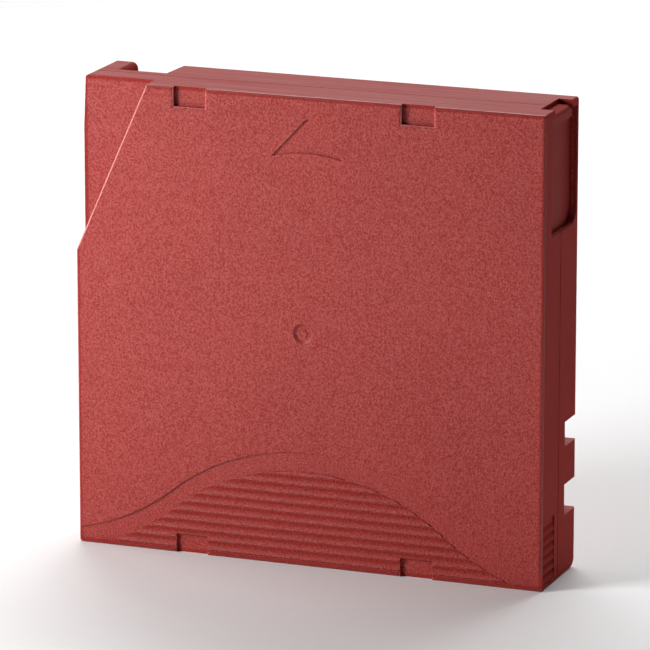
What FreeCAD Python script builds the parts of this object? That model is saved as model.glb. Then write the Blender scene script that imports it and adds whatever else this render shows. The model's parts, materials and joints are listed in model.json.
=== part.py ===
import FreeCAD, Part
import math
import os
from FreeCAD import Vector

# Half-inch data tape cartridge: a flat two-shell case with one flanged reel, a reel brake that the
# drive releases through the reel's floor, a spring-closed tape door, a parked leader pin, a
# write-protect slider and a contactless memory board.
#
# Row frame, millimetres. The cartridge stands on its rear (label) edge at z = 0, with the
# edge that enters the drive first at the top. +X is the door side. The marked face of the upper
# shell looks along -Y, and the face with the drive gear opening looks along +Y.

# ---- case ----------------------------------------------------------------------------------------
CASE_W = 105.4            # side to side
CASE_L = 102.0            # rear edge to front edge
CASE_T = 21.5             # face to face
WALL = 2.0                # side, front and rear walls
CEILING_T = 1.9           # plate of the upper shell
FLOOR_T = 1.8             # plate of the lower shell
LOWER_DEPTH = 11.2        # depth of the lower shell, up to the parting plane
CORNER_R = 0.6            # corners of the outline
EDGE_R = 0.5              # rim of both faces
REAR_EDGE_R = 3.2         # rear edge of the lower face
LEAD_IN = 0.5             # the left side slopes in by this much
LEAD_L = 11.0             # over this length at the front
SEAM = 0.15               # small step at the parting plane, so that the seam shows

# ---- key step at the front left corner of the upper shell ----------------------------------------
STEP_DEPTH = 5.0
STEP_ON_FRONT = 16.4      # where the step leaves the front edge, from the left side
STEP_ON_SIDE = 37.1       # where it leaves the left side, from the front edge
STEP_WALL = 1.7

# ---- pockets for the picker's fingers in the face, along the front and rear edges ----------------
POCKET_W = 7.2
POCKET_L = 4.2
POCKET_DEPTH = 1.0
POCKET_SPACING = 51.1     # between the centres of a pair
POCKET_FLOOR_T = 1.2

# ---- gripper notches in both sides, open to the lower face ---------------------------------------
NOTCH_DEPTH = 3.4         # into the side
NOTCH_HEIGHT = 7.2        # up from the lower face
NOTCHES = ((13.0, 19.7), (28.0, 33.4))   # from the rear edge
NOTCH_WALL = 1.4

# ---- ramped notch at the front left, open to the lower face --------------------------------------
HOOK_HEIGHT = 9.1         # up from the lower face
HOOK_WALL_X = 5.6         # steep wall, from the left side
HOOK_RAMP_END = 16.5      # where the ramp reaches the front edge, from the left side
HOOK_DEPTH = 4.4
HOOK_MOUTH_R = 1.6
HOOK_SKIN = 1.4
HOOK_RAMP_FOOT = 1.7      # flat foot of the notch, from the steep wall

# ---- finger grip at the rear of the face ---------------------------------------------------------
GRIP_DEPTH = 0.4
GRIP_R = 48.5             # outline of the sunk grip
GRIP_TOP = 25.0           # highest point of that outline
GRIP_RIM = 0.3            # left along the rear edge, past its rounding
RIB_ENDS_R = 48.0         # arc that the ends of the ribs follow
RIB_ENDS_TOP = 20.7
FLARE_R = 50.0            # both arcs turn outwards near the sides
FLARE_OUT = 10.1          # centre of that turn, beyond the side
RIB_PITCH = 2.06
RIB_W = 1.7               # length of a rib's slope
RIB_COUNT = 10
RIB_FIRST = 1.4           # crest of the rib nearest to the rear edge
SIDE_GRIP_FACE = 0.6      # the same ribs on both sides: from the face
SIDE_GRIP_SEAM = 2.4      # and from the parting plane
SIDE_GRIP_BOTTOM = 1.2
SIDE_GRIP_TOP = 14.9

# ---- arrow and centre dimple in the face ---------------------------------------------------------
ARROW_W = 15.8
ARROW_TIP = 4.6           # from the front edge
ARROW_L = 8.5
ARROW_BASE_RISE = 1.0
ARROW_DEPTH = 0.4
DIMPLE_R = 2.25
DIMPLE_FLOOR_R = 1.6
DIMPLE_DEPTH = 0.5
DIMPLE_NUB_R = 0.8
DIMPLE_NUB_H = 0.2

# ---- reel and tape -------------------------------------------------------------------------------
REEL_X = -0.9             # reel axis, from the middle of the case
REEL_CLEAR = 0.7          # flange rim to the front and rear walls
REEL_SIT = 0.1            # seat ring above the floor at rest
SEAT_H = 0.8
SEAT_W = 2.0
FLANGE_T = 1.05
REEL_ROOM = 1.85          # upper flange to the ceiling
TAPE_GAP = 0.15           # tape edge to flange
TAPE_RIM = 1.45           # full pack, inside the flange rim
HUB_R = 22.0
HUB_WALL = 1.8
HUB_FLOOR_T = 1.3
HUB_FLOOR_RAISE = 0.5     # hub floor, above the underside of the lower flange
SPIGOT_H = 2.2
SPIGOT_GAP = 0.05
PACK_GAP = 0.03
OPENING_CLEAR = 1.1       # round the gear, in the opening of the lower shell
SEAT_CLEAR = 1.2          # seat ring, outside that opening
GEAR_W = 3.7
GEAR_TEETH = 60
GEAR_ROOT_T = 0.25
GEAR_SHAPE = (0.92, 0.25)  # root width over the pitch, and tip width over root width
PLATE_CLEAR = 0.8         # steel drive plate, inside the gear
PLATE_R_IN = 6.5
PLATE_T = 0.6

# ---- reel brake ----------------------------------------------------------------------------------
BRAKE_TRAVEL = 1.8
BRAKE_TEETH = 60
BRAKE_CLEAR = 0.75        # brake teeth, inside the leg holes
BRAKE_TOOTH_W = 2.8
BRAKE_TOOTH_H = 1.2
MESH_GAP = 0.1
BRAKE_SHAPE = (0.76, 0.2)
STAND_H = 2.0             # height of the three tooth stands on the hub floor
STAND_SPAN = 72.0         # degrees of each stand
BRAKE_RIM_T = 0.7         # ring under the button's teeth
BRAKE_DISC_T = 1.4
BRAKE_POST_R = 6.0
BRAKE_POST_H = 3.6
KEY_W = 1.8               # cross-shaped key on the ceiling
KEY_SPAN = 8.8
KEY_GAP = 0.15
KEY_ENTRY = 1.6           # how far the key sits in the post at rest
NUB_R = 2.5
NUB_H = 1.6
NUB_GAP = 0.05
BRAKE_WIRE = 0.7
BRAKE_COIL_R = 7.3
BRAKE_TURNS = 4.0
SPRING_GAP = 0.05
CUP_CLEAR = 0.2           # spring in its cup on the ceiling
CUP_T = 1.0
CUP_H = 1.5

# ---- release spider ------------------------------------------------------------------------------
SPIDER_T = 1.2
SPIDER_SIT = 0.1
SPIDER_ARM_W = 4.4
SPIDER_CLEAR = 0.45       # arms, inside the hub
SPIDER_DISC_CLEAR = 4.0   # disc, inside the brake teeth
SPIDER_BOSS_T = 0.8       # boss under the button's nub, outside the nub's radius
LEG_TOOTHLESS = 7.0       # degrees of the gear left free on each side of a leg
LEG_R = 1.5
LEG_HOLE_R = 1.8
LEG_SHORT = 0.1           # leg ends, behind the tips of the gear

# ---- tape door -----------------------------------------------------------------------------------
DOOR_WALL = 1.3           # side wall over the door
DOOR_GAP = 0.15
DOOR_T = 1.7
DOOR_SETBACK = 1.0        # front end of the door, behind the front edge
DOOR_OPENING_L = 26.7     # opening in the side, from the front edge
DOOR_OVERLAP = 1.5
DOOR_LIP_UP = 2.3         # lip of the upper shell over the door's edge
DOOR_LIP_LOW = 1.2        # lip of the lower shell, from the lower face
DOOR_GROOVE = 1.1         # groove in the floor
DOOR_SLOT_FACE = 6.0      # slot for the opener in the front wall, from the face
DOOR_SLOT_BASE = 3.9      # and from the lower face
DOOR_POST = 1.6           # front wall left beside that slot
DOOR_HEAD_L = 2.5
DOOR_HEAD_OUT = 1.2
DOOR_HEAD_R = 0.96
DOOR_STOP_GAP = 0.5
OPENING_CORNERS = (1.0, 4.0)   # rear corners of the opening, by the face and by the base
RAIL_T = 1.0
RAIL_H = 1.5
RAIL_END = 40.0           # rear end of the rails, from the rear edge
ROD_R = 0.7
ROD_INSET = 0.6           # rod's axis, behind the middle of the door plate
ROD_PAST_ANCHOR = 2.0
ROD_ROOM = 1.6
ROD_BAY = 2.0             # rod's channel, behind the plate
SLIDE_SPARE = 1.0         # channels, past the end of the door's travel
DOOR_COIL_R = 1.25
DOOR_WIRE = 0.45
DOOR_TURNS = 11.0
ANCHOR_Z = 36.0
ANCHOR_T = 1.6
ANCHOR_RISE = 1.5         # anchor wall above the rod's axis
ROD_HOLE_R = 1.0

# ---- leader pin ----------------------------------------------------------------------------------
PIN_FROM_SIDE = 10.1
PIN_FROM_FRONT = 15.0
PIN_TAPE_GAP = 0.125      # tape edge to the pin's collar
PIN_END_R = 2.0
PIN_END_L = 1.25
PIN_NECK_R = 1.1
PIN_NECK_L = 0.35
PIN_BODY_R = 1.4
PIN_COLLAR_L = 0.15
CLAMP_R = 2.1
CLAMP_GAP = 0.05
CLAMP_SLOT = 1.1
SEAT_GAP = 0.15
SEAT_T = 1.3
LEAF_T = 0.3
LEAF_BASE_L = 5.0
LEAF_REST = 0.1
LEAF_BEND = 1.1
LEAF_HOLD_GAP = 0.1
LEAF_HOLD_T = 0.8
LEAF_FRONT_GAP = 0.1
LEAF_HOLD_START = 2.0     # the walls that grip it, in front of its bend
LEAF_TIP_L = 0.6          # past the pin's end
LEAF_TIP_BEND = 0.2
TAPE_START = 0.6          # past the point where it leaves the pack
TAPE_T = 0.12             # free end of the tape, drawn thick enough to be a solid

# ---- screws --------------------------------------------------------------------------------------
# each: the side (-1 left, 1 right) and how far from it, the edge (-1 rear, 1 front) and how far from it
SCREWS = ((-1, 9.0, 1, 13.0), (1, 12.4, 1, 5.4), (-1, 10.6, -1, 11.4), (1, 8.1, -1, 6.9))
SCREW_R = 1.0
SCREW_GAP = 0.1
SCREW_HEAD_R = 2.1
SCREW_HEAD_T = 1.3
SCREW_SINK = 0.8          # head below the lower face
SCREW_L = 12.0
SCREW_END_GAP = 0.5
BOSS_R = 2.9
HEAD_GAP = 0.3
HEAD_WALL = 0.8
HEAD_SEAT_T = 1.2
DRIVE_W = 0.6             # cross recess
DRIVE_SPAN = 2.4
DRIVE_DEPTH = 0.7

# ---- locating holes in the lower face ------------------------------------------------------------
LOCATING_R = 2.0
LOCATING_DEPTH = 4.0
LOCATING_X = 30.2         # either side of the reel axis
LOCATING_Z = 6.5          # from the front edge
LOCATING_WALL = 1.0
LOCATING_SLOT = 1.6       # extra length of the second, which is a slot

# ---- write-protect slider ------------------------------------------------------------------------
TAB_WINDOW = (8.5, 17.5)      # from the left side
TAB_WINDOW_Y = (9.9, 4.5)     # from the lower face
TAB_TRAVEL = 4.4
TAB_GAP = 0.15
TAB_T = 1.6
TAB_OVERLAP = 0.9
TAB_KNOB_SINK = 0.4
TAB_RAIL_T = 1.0
TAB_RAIL_H = 2.6
TAB_GROOVES = 3
TAB_GROOVE_PITCH = 1.3
TAB_GROOVE_W = 0.5
TAB_GROOVE_DEPTH = 0.5
TAB_STOP_GAP = 1.5
TAB_STOP_T = 1.2

# ---- memory board --------------------------------------------------------------------------------
BOARD_L = 12.0
BOARD_W = 10.2
BOARD_T = 0.8
BOARD_FROM_SIDE = 12.8        # right end of the board, from the right side
BOARD_SEAT = 8.1              # legs of the right-angled seats that hold it at 45 degrees
BOARD_SEAT_T = 1.2
BOARD_SEAT_INSET = 0.6        # seats, from the board's ends
BOARD_GAP = 0.05
CHIP_R = 2.2
CHIP_T = 0.6
RIB_OVER_BOARD = 2.0          # width of the rib that holds it down
BOARD_ROOM = 0.5              # round the board, free of the round walls

# ---- label area of the rear wall -----------------------------------------------------------------
LABEL_LEFT = 22.0             # from the left side
LABEL_RIGHT = 6.9             # from the right side
LABEL_RIM = 2.4               # from both faces
LABEL_DEPTH = 0.35

# ---- inner round walls that keep the reel in place -----------------------------------------------
RING_GAP = 0.45
RING_T = 0.9
RING_H = 1.6
RING_SPAN = 54.0              # degrees of each of the four arcs

WALL_GAP = 0.1            # ribs of one shell to the walls of the other

# ---- how far joined forms run into each other, and how far cutters run past a face ---------------
ROOT = 0.2
TOOTH_ROOT = 0.02
PAST = 1.0

# ======================= places worked out from those sizes =======================
LEFT = -CASE_W / 2
RIGHT = CASE_W / 2
FRONT = CASE_L
Y_FACE = -CASE_T / 2
Y_BASE = CASE_T / 2
Y_SEAM = Y_BASE - LOWER_DEPTH
Y_CEILING = Y_FACE + CEILING_T
Y_FLOOR = Y_BASE - FLOOR_T
REEL_Z = CASE_L / 2
TAPE_W = CASE_T - CEILING_T - FLOOR_T - REEL_SIT - SEAT_H - 2 * (FLANGE_T + TAPE_GAP) - REEL_ROOM
PIN_L = TAPE_W + 2 * (PIN_END_L + PIN_NECK_L + PIN_COLLAR_L + PIN_TAPE_GAP)
LEG_CIRCLE_R = HUB_R - HUB_WALL - SPIDER_CLEAR - SPIDER_ARM_W / 2
GEAR_R_OUT = LEG_CIRCLE_R + GEAR_W / 2
GEAR_R_IN = LEG_CIRCLE_R - GEAR_W / 2
OPENING_R = GEAR_R_OUT + OPENING_CLEAR
PLATE_R_OUT = GEAR_R_IN - PLATE_CLEAR
BRAKE_R_OUT = LEG_CIRCLE_R - LEG_HOLE_R - BRAKE_CLEAR
BRAKE_R_IN = BRAKE_R_OUT - BRAKE_TOOTH_W
side_room = min(REEL_X - LEFT - WALL, RIGHT - DOOR_WALL - 2 * DOOR_GAP - DOOR_T - REEL_X - RAIL_T)
FLANGE_R = min(CASE_L / 2 - WALL, side_room) - REEL_CLEAR
PACK_R = FLANGE_R - TAPE_RIM
Y_GEAR_TIP = Y_FLOOR - REEL_SIT
Y_FLANGE_LOW = Y_GEAR_TIP - SEAT_H
Y_TAPE_LOW = Y_FLANGE_LOW - FLANGE_T - TAPE_GAP
Y_TAPE_HIGH = Y_TAPE_LOW - TAPE_W
Y_FLANGE_UP = Y_TAPE_HIGH - TAPE_GAP - FLANGE_T
Y_HUB_UNDER = Y_FLANGE_LOW - HUB_FLOOR_RAISE
Y_HUB_FLOOR = Y_HUB_UNDER - HUB_FLOOR_T
Y_STAND = Y_HUB_FLOOR - STAND_H
Y_BRAKE_ROOT = Y_STAND - BRAKE_TOOTH_H - MESH_GAP
Y_BRAKE_DISC = Y_BRAKE_ROOT - BRAKE_RIM_T
Y_BRAKE_TOP = Y_BRAKE_DISC - BRAKE_DISC_T
Y_POST_TOP = Y_BRAKE_TOP - BRAKE_POST_H
Y_KEY_END = Y_POST_TOP + KEY_ENTRY
Y_SPIDER_LOW = Y_HUB_FLOOR - SPIDER_SIT
Y_SPIDER_TOP = Y_SPIDER_LOW - SPIDER_T
Y_TAPE_MID = (Y_TAPE_LOW + Y_TAPE_HIGH) / 2
Y_OPENING_UP = Y_CEILING + DOOR_LIP_UP
Y_OPENING_LOW = Y_BASE - DOOR_LIP_LOW
DOOR_OUT = RIGHT - DOOR_WALL - DOOR_GAP
DOOR_IN = DOOR_OUT - DOOR_T
DOOR_FRONT = FRONT - DOOR_SETBACK
OPENING_REAR = FRONT - DOOR_OPENING_L
DOOR_REAR = OPENING_REAR - DOOR_OVERLAP
DOOR_TRAVEL = DOOR_FRONT - DOOR_HEAD_L - OPENING_REAR - DOOR_STOP_GAP
Y_DOOR_UP = Y_CEILING + DOOR_GAP
Y_DOOR_LOW = Y_FLOOR + DOOR_GROOVE - DOOR_GAP
PIN_X = RIGHT - PIN_FROM_SIDE
PIN_Z = FRONT - PIN_FROM_FRONT
Y_PIN_UP = Y_TAPE_MID - PIN_L / 2
Y_PIN_LOW = Y_TAPE_MID + PIN_L / 2
ROD_X = (DOOR_IN + DOOR_OUT) / 2 - ROD_INSET
ROD_END = ANCHOR_Z - ROD_PAST_ANCHOR
ROD_Y = Y_TAPE_MID
Y_SLOT_UP = Y_FACE + DOOR_SLOT_FACE
Y_SLOT_LOW = Y_BASE - DOOR_SLOT_BASE
Y_WINDOW_UP, Y_WINDOW_LOW = [Y_BASE - height for height in TAB_WINDOW_Y]


# ======================= shape helpers =======================
def block(x0, x1, y0, y1, z0, z1):
    """A box between two corners."""
    return Part.makeBox(x1 - x0, y1 - y0, z1 - z0, Vector(x0, y0, z0))


def disc(x, z, radius, y0, y1):
    """A cylinder along Y."""
    return Part.makeCylinder(radius, y1 - y0, Vector(x, y0, z), Vector(0, 1, 0))


def ring(x, z, r_out, r_in, y0, y1):
    """A tube along Y."""
    return disc(x, z, r_out, y0, y1).cut(disc(x, z, r_in, y0 - 1, y1 + 1))


def plan(points, y0, y1):
    """A straight-sided outline in X and Z, carried along Y."""
    corners = [Vector(x, y0, z) for x, z in points]
    face = Part.Face(Part.makePolygon(corners + corners[:1]))
    return face.extrude(Vector(0, y1 - y0, 0))


def slab(inset, y0, y1, radius):
    """The case outline, drawn in by inset, with rounded corners and the lead-in of the left side."""
    lead = (LEFT + inset, FRONT - LEAD_L)
    body = plan([(LEFT + inset, inset), (RIGHT - inset, inset), (RIGHT - inset, FRONT - inset),
                 (LEFT + inset + LEAD_IN, FRONT - inset), lead], y0, y1)
    upright = [e for e in body.Edges if abs(e.tangentAt(e.FirstParameter).y) > 0.99
               and abs(e.CenterOfMass.z - lead[1]) > 1e-6]
    return body.makeFillet(radius, upright)


def rim_rounded(body, y):
    """Rounds the rim of a slab's face that lies at y."""
    rim = [e for e in body.Edges if all(abs(v.Point.y - y) < 1e-6 for v in e.Vertexes)]
    return body.makeFillet(EDGE_R, rim)


def rear_rounded(y0):
    """A block the size of the case, with the rear edge of its lower face rounded."""
    body = block(LEFT, RIGHT, y0, Y_BASE, 0, FRONT)
    edge = [e for e in body.Edges if abs(e.CenterOfMass.y - Y_BASE) < 1e-6 and abs(e.CenterOfMass.z) < 1e-6]
    return body.makeFillet(REAR_EDGE_R, edge)


def fused(first, *others):
    """One solid from several that meet."""
    return first.multiFuse(list(others)).removeSplitter()


def arc_sector(r_out, r_in, start, span, y0, y1):
    """Part of a tube round the reel axis, from start over span degrees."""
    tube = Part.makeCylinder(r_out, y1 - y0, Vector(0, 0, 0), Vector(0, 0, 1), span)
    tube = tube.cut(Part.makeCylinder(r_in, y1 - y0, Vector(0, 0, 0), Vector(0, 0, 1)))
    tube.rotate(Vector(0, 0, 0), Vector(0, 0, 1), start)
    return on_reel_axis(tube, y0)


def on_reel_axis(shape, y):
    """Turns a shape made on the Z axis so that its +Z runs along +Y, from y on the reel axis."""
    shape.rotate(Vector(0, 0, 0), Vector(1, 0, 0), -90)
    shape.translate(Vector(REEL_X, y, REEL_Z))
    return shape


def tooth_ring(r_out, r_in, teeth, height, shape, kept=None):
    """Radial face teeth on the Z axis, roots at z = 0 and tips at z = height.

    Each tooth is lofted between a small section at the inner radius and a wide one at the outer, so
    that the flanks point to the axis. kept chooses teeth by number.
    """
    root_share, tip_share = shape
    made = []
    for number in range(teeth):
        if kept and not kept(number):
            continue
        sections = []
        for radius in (r_in, r_out):
            half_root = radius * math.tan(math.pi / teeth) * root_share
            half_tip = half_root * tip_share
            corners = ((-half_root, 0), (half_root, 0), (half_tip, height), (-half_tip, height))
            points = [Vector(radius, across, up) for across, up in corners]
            sections.append(Part.makePolygon(points + points[:1]))
        tooth = Part.makeLoft(sections, True, True)
        tooth.rotate(Vector(0, 0, 0), Vector(0, 0, 1), number * 360.0 / teeth)
        made.append(tooth)
    return made


def coil(radius, wire, turns, length):
    """A helical spring on the Z axis, from z = 0. Its wire has an eight-sided section."""
    rise = length - wire
    path = Part.makeHelix(rise / turns, rise, radius)
    corners = [math.radians(22.5 + 45.0 * number) for number in range(8)]
    points = [Vector(radius + wire / 2 * math.cos(turn), 0, wire / 2 * math.sin(turn)) for turn in corners]
    spring = Part.Wire(path).makePipeShell([Part.makePolygon(points + points[:1])], True, True)
    spring.translate(Vector(0, 0, wire / 2))
    return spring


# ======================= cut-outs that both shells share =======================
def step_region(offset, y0, y1):
    """The corner in front and left of the slanting step line, moved towards the reel by offset."""
    angle = math.atan2(STEP_ON_SIDE, STEP_ON_FRONT)
    on_front = STEP_ON_FRONT + offset / math.sin(angle)
    on_side = STEP_ON_SIDE + offset / math.cos(angle)
    reach = CASE_W
    far_front = (LEFT + on_front + reach * STEP_ON_FRONT / STEP_ON_SIDE, FRONT + reach)
    far_left = LEFT - reach
    corners = [(LEFT, FRONT - on_side), far_front, (far_left, FRONT + reach), (far_left, FRONT - on_side)]
    return plan(corners, y0, y1)


def hook_outline(skin):
    """Outline of the ramped front notch, grown by skin."""
    steep = LEFT + HOOK_WALL_X - skin
    ramp = LEFT + HOOK_RAMP_END + skin
    bottom = FRONT - HOOK_DEPTH - skin
    run = HOOK_RAMP_END - HOOK_WALL_X - HOOK_RAMP_FOOT
    return [(steep, FRONT + 1), (steep, bottom), (ramp - run, bottom), (ramp, FRONT), (ramp, FRONT + 1)]


def hook_notch(skin, y0):
    """The ramped front notch, with a rounded mouth on its steep side when it is the notch itself."""
    notch = plan(hook_outline(skin), y0, Y_BASE + 1)
    if skin:
        return notch
    mouth = plan([(LEFT + HOOK_WALL_X - HOOK_MOUTH_R, FRONT - HOOK_MOUTH_R),
                  (LEFT + HOOK_WALL_X, FRONT - HOOK_MOUTH_R),
                  (LEFT + HOOK_WALL_X, FRONT + 1),
                  (LEFT + HOOK_WALL_X - HOOK_MOUTH_R, FRONT + 1)], y0, Y_BASE + 1)
    round_off = disc(LEFT + HOOK_WALL_X - HOOK_MOUTH_R, FRONT - HOOK_MOUTH_R, HOOK_MOUTH_R, y0, Y_BASE + 1)
    return notch.fuse(mouth.cut(round_off))


def side_notches(skin, y0):
    """Blocks of the four gripper notches, grown by skin."""
    made = []
    for z0, z1 in NOTCHES:
        made.append(block(LEFT - 1, LEFT + NOTCH_DEPTH + skin, y0, Y_BASE + 1, z0 - skin, z1 + skin))
        made.append(block(RIGHT - NOTCH_DEPTH - skin, RIGHT + 1, y0, Y_BASE + 1, z0 - skin, z1 + skin))
    return made


def door_opening():
    """The opening in the right side, its rear corners rounded, and the opener's slot in the front."""
    y0, y1 = Y_OPENING_UP, Y_OPENING_LOW
    window = block(DOOR_IN - DOOR_GAP - WALL, RIGHT + 1, y0, y1, OPENING_REAR, FRONT - DOOR_POST)
    for y, radius in zip((y0, y1), OPENING_CORNERS):
        corner = [e for e in window.Edges if abs(e.CenterOfMass.y - y) < 1e-6
                  and abs(e.CenterOfMass.z - OPENING_REAR) < 1e-6]
        window = window.makeFillet(radius, corner)
    slot = block(DOOR_IN - DOOR_GAP, RIGHT + 1, Y_SLOT_UP, Y_SLOT_LOW,
                 FRONT - DOOR_POST - 1, FRONT + 1)
    return [window, slot]


def door_channel():
    """The space behind the side wall that the door slides in."""
    y1 = Y_FLOOR + DOOR_GROOVE
    z0 = DOOR_REAR - DOOR_TRAVEL - SLIDE_SPARE
    return block(DOOR_IN - DOOR_GAP, RIGHT - DOOR_WALL, Y_CEILING, y1, z0, FRONT - DOOR_POST)


def rod_channel():
    """The narrower space behind it for the door's rod and spring."""
    return block(DOOR_IN - ROD_BAY, RIGHT - DOOR_WALL, ROD_Y - ROD_ROOM, ROD_Y + ROD_ROOM,
                 ROD_END - DOOR_TRAVEL - SLIDE_SPARE, DOOR_REAR)


def seam_step(y0, y1):
    """The thin frame that is taken off both shells along the seam."""
    return slab(-1, y0, y1, CORNER_R).cut(slab(SEAM, y0 - 1, y1 + 1, CORNER_R))


def ring_walls(y0, y1):
    """Round walls that hold the reel loosely, in four arcs between the case corners."""
    made = []
    for quarter in range(4):
        start = 90.0 * quarter + (90.0 - RING_SPAN) / 2
        made.append(arc_sector(FLANGE_R + RING_GAP + RING_T, FLANGE_R + RING_GAP, start, RING_SPAN, y0, y1))
    inside = block(LEFT + WALL / 2, DOOR_IN - DOOR_GAP, y0 - 1, y1 + 1, WALL / 2, FRONT - WALL / 2)
    return [wall.common(inside) for wall in made]


# ======================= the upper shell =======================
def face_marks():
    """Everything sunk in the marked face: pockets, grip, arrow and dimple."""
    cuts = []
    for side in (-1, 1):
        x = REEL_X + side * POCKET_SPACING / 2
        for z0, z1 in ((-1, POCKET_L), (FRONT - POCKET_L, FRONT + 1)):
            cuts.append(block(x - POCKET_W / 2, x + POCKET_W / 2, Y_FACE - 1, Y_FACE + POCKET_DEPTH, z0, z1))
    cuts.append(finger_grip())
    cuts += arrow()
    centre = Vector(REEL_X, Y_FACE, REEL_Z)
    dimple = Part.makeCone(DIMPLE_R, DIMPLE_FLOOR_R, DIMPLE_DEPTH, centre, Vector(0, 1, 0))
    floor = Y_FACE + DIMPLE_DEPTH
    cuts.append(dimple.cut(disc(REEL_X, REEL_Z, DIMPLE_NUB_R, floor - DIMPLE_NUB_H, floor + PAST)))
    return cuts


def arch(top, radius, y0, y1):
    """The region at the rear edge under an arc that turns outwards before it reaches the sides."""
    x_turn = RIGHT + FLARE_OUT
    z_arc = top - radius
    z_turn = z_arc + math.sqrt((radius + FLARE_R) ** 2 - x_turn ** 2)
    share = radius / (radius + FLARE_R)
    meet = (x_turn * share, z_arc + (z_turn - z_arc) * share)
    x_end = RIGHT + PAST
    end = (x_end, z_turn - math.sqrt(FLARE_R ** 2 - (x_turn - x_end) ** 2))
    turns = [math.atan2(z - z_turn, x - x_turn) for x, z in (meet, end)]
    half = sum(turns) / 2
    middle = (x_turn + FLARE_R * math.cos(half), z_turn + FLARE_R * math.sin(half))
    low = min(end[1], 0) - PAST

    def at(point, side):
        return Vector(side * point[0], y0, point[1])

    edges = [Part.makeLine(Vector(-x_end, y0, low), Vector(x_end, y0, low)),
             Part.makeLine(Vector(x_end, y0, low), at(end, 1)),
             Part.Arc(at(end, 1), at(middle, 1), at(meet, 1)).toShape(),
             Part.Arc(at(meet, 1), Vector(0, y0, top), at(meet, -1)).toShape(),
             Part.Arc(at(meet, -1), at(middle, -1), at(end, -1)).toShape(),
             Part.makeLine(at(end, -1), Vector(-x_end, y0, low))]
    return Part.Face(Part.Wire(edges)).extrude(Vector(0, y1 - y0, 0))


def finger_grip():
    """The sunk, arched grip at the rear edge, less the ribs that are left standing in it."""
    y1 = Y_FACE + GRIP_DEPTH
    well = arch(GRIP_TOP, GRIP_R, Y_FACE - PAST, y1)
    well = well.common(block(LEFT - PAST, RIGHT + PAST, Y_FACE - PAST, y1, EDGE_R + GRIP_RIM, GRIP_TOP))
    ends = arch(RIB_ENDS_TOP, RIB_ENDS_R, Y_FACE - PAST, y1)
    for number in range(RIB_COUNT):
        rib = saw_rib(RIB_FIRST + number * RIB_PITCH)
        rib = rib.extrude(Vector(CASE_W, 0, 0))
        rib.translate(Vector(LEFT, Y_FACE, 0))
        well = well.cut(rib.common(ends))
    return well


def saw_rib(z):
    """Section of one grip rib in Y and Z: a steep step towards the rear edge, then a long slope."""
    points = [Vector(0, 0, z), Vector(0, GRIP_DEPTH, z), Vector(0, GRIP_DEPTH, z + RIB_W)]
    return Part.Face(Part.makePolygon(points + points[:1]))


def arrow():
    """The insertion arrow: two straight grooves and a curved one under them."""
    tip = FRONT - ARROW_TIP
    base = tip - ARROW_L
    half = ARROW_W / 2
    outline = plan([(-half, base), (0, tip), (half, base)], Y_FACE - 1, Y_FACE + ARROW_DEPTH)
    sag_r = (half ** 2 + ARROW_BASE_RISE ** 2) / (2 * ARROW_BASE_RISE)
    return [outline.cut(disc(0, base + ARROW_BASE_RISE - sag_r, sag_r, Y_FACE - 2, Y_FACE + 1))]


def side_grips():
    """Ribbed patches near the rear of both sides."""
    cuts = []
    for side, x in ((-1, LEFT), (1, RIGHT)):
        inner = x - side * GRIP_DEPTH
        y0, y1 = Y_FACE + SIDE_GRIP_FACE, Y_SEAM - SIDE_GRIP_SEAM
        patch = block(min(inner, x + side), max(inner, x + side), y0, y1, SIDE_GRIP_BOTTOM, SIDE_GRIP_TOP)
        for number in range(RIB_COUNT):
            z = RIB_FIRST + number * RIB_PITCH
            if z + RIB_W > SIDE_GRIP_TOP:
                break
            points = [Vector(x, y0, z), Vector(inner, y0, z), Vector(inner, y0, z + RIB_W)]
            rib = Part.Face(Part.makePolygon(points + points[:1])).extrude(Vector(0, y1 - y0, 0))
            patch = patch.cut(rib)
        cuts.append(patch)
    return cuts


def label_recess():
    """The sunk label area of the rear wall."""
    y0, y1 = Y_FACE + LABEL_RIM, Y_BASE - LABEL_RIM
    return block(LEFT + LABEL_LEFT, RIGHT - LABEL_RIGHT, y0, y1, -PAST, LABEL_DEPTH)


def key_cross(width, span, y0, y1):
    """A cross on the reel axis, which keeps the brake from turning."""
    flat = block(REEL_X - span / 2, REEL_X + span / 2, y0, y1, REEL_Z - width / 2, REEL_Z + width / 2)
    upright = block(REEL_X - width / 2, REEL_X + width / 2, y0, y1, REEL_Z - span / 2, REEL_Z + span / 2)
    return flat.fuse(upright)


def pin_stand(y0, y1, pad0, pad1):
    """A half-round seat for one end of the leader pin, open towards the door, on a round pad."""
    r_in = PIN_END_R + SEAT_GAP
    seat = ring(PIN_X, PIN_Z, r_in + SEAT_T, r_in, y0, y1)
    seat = seat.cut(block(PIN_X, PIN_X + 10, y0 - 1, y1 + 1, PIN_Z - 10, PIN_Z + 10))
    return seat.fuse(disc(PIN_X, PIN_Z, r_in + SEAT_T, pad0, pad1))


def screw_places():
    """Centres of the four case screws."""
    return [(side * (CASE_W / 2 - x), CASE_L / 2 + edge * (CASE_L / 2 - z)) for side, x, edge, z in SCREWS]


def holding_ribs():
    """Ribs of the upper shell that keep the write-protect slider and the memory board in their seats."""
    x0 = tab_body_span()[0]
    x1 = tab_body_span()[1] + TAB_TRAVEL
    tab_top = Y_WINDOW_UP - TAB_OVERLAP - TAB_GAP
    middle = sum(board_span()) / 2
    half = RIB_OVER_BOARD / 2
    board_top = Y_FLOOR - BOARD_SEAT - 2 * TAB_GAP
    made = []
    for x_from, x_to, y_end in ((x0, x1, tab_top), (middle - half, middle + half, board_top)):
        made.append(block(x_from, x_to, Y_CEILING - ROOT, Y_SEAM - SEAM, WALL - ROOT, WALL + TAB_T))
        # below the seam the rib stands clear of the lower shell's wall
        made.append(block(x_from, x_to, Y_SEAM - 2 * PAST, y_end, WALL + WALL_GAP, WALL + TAB_T))
    return made


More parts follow.
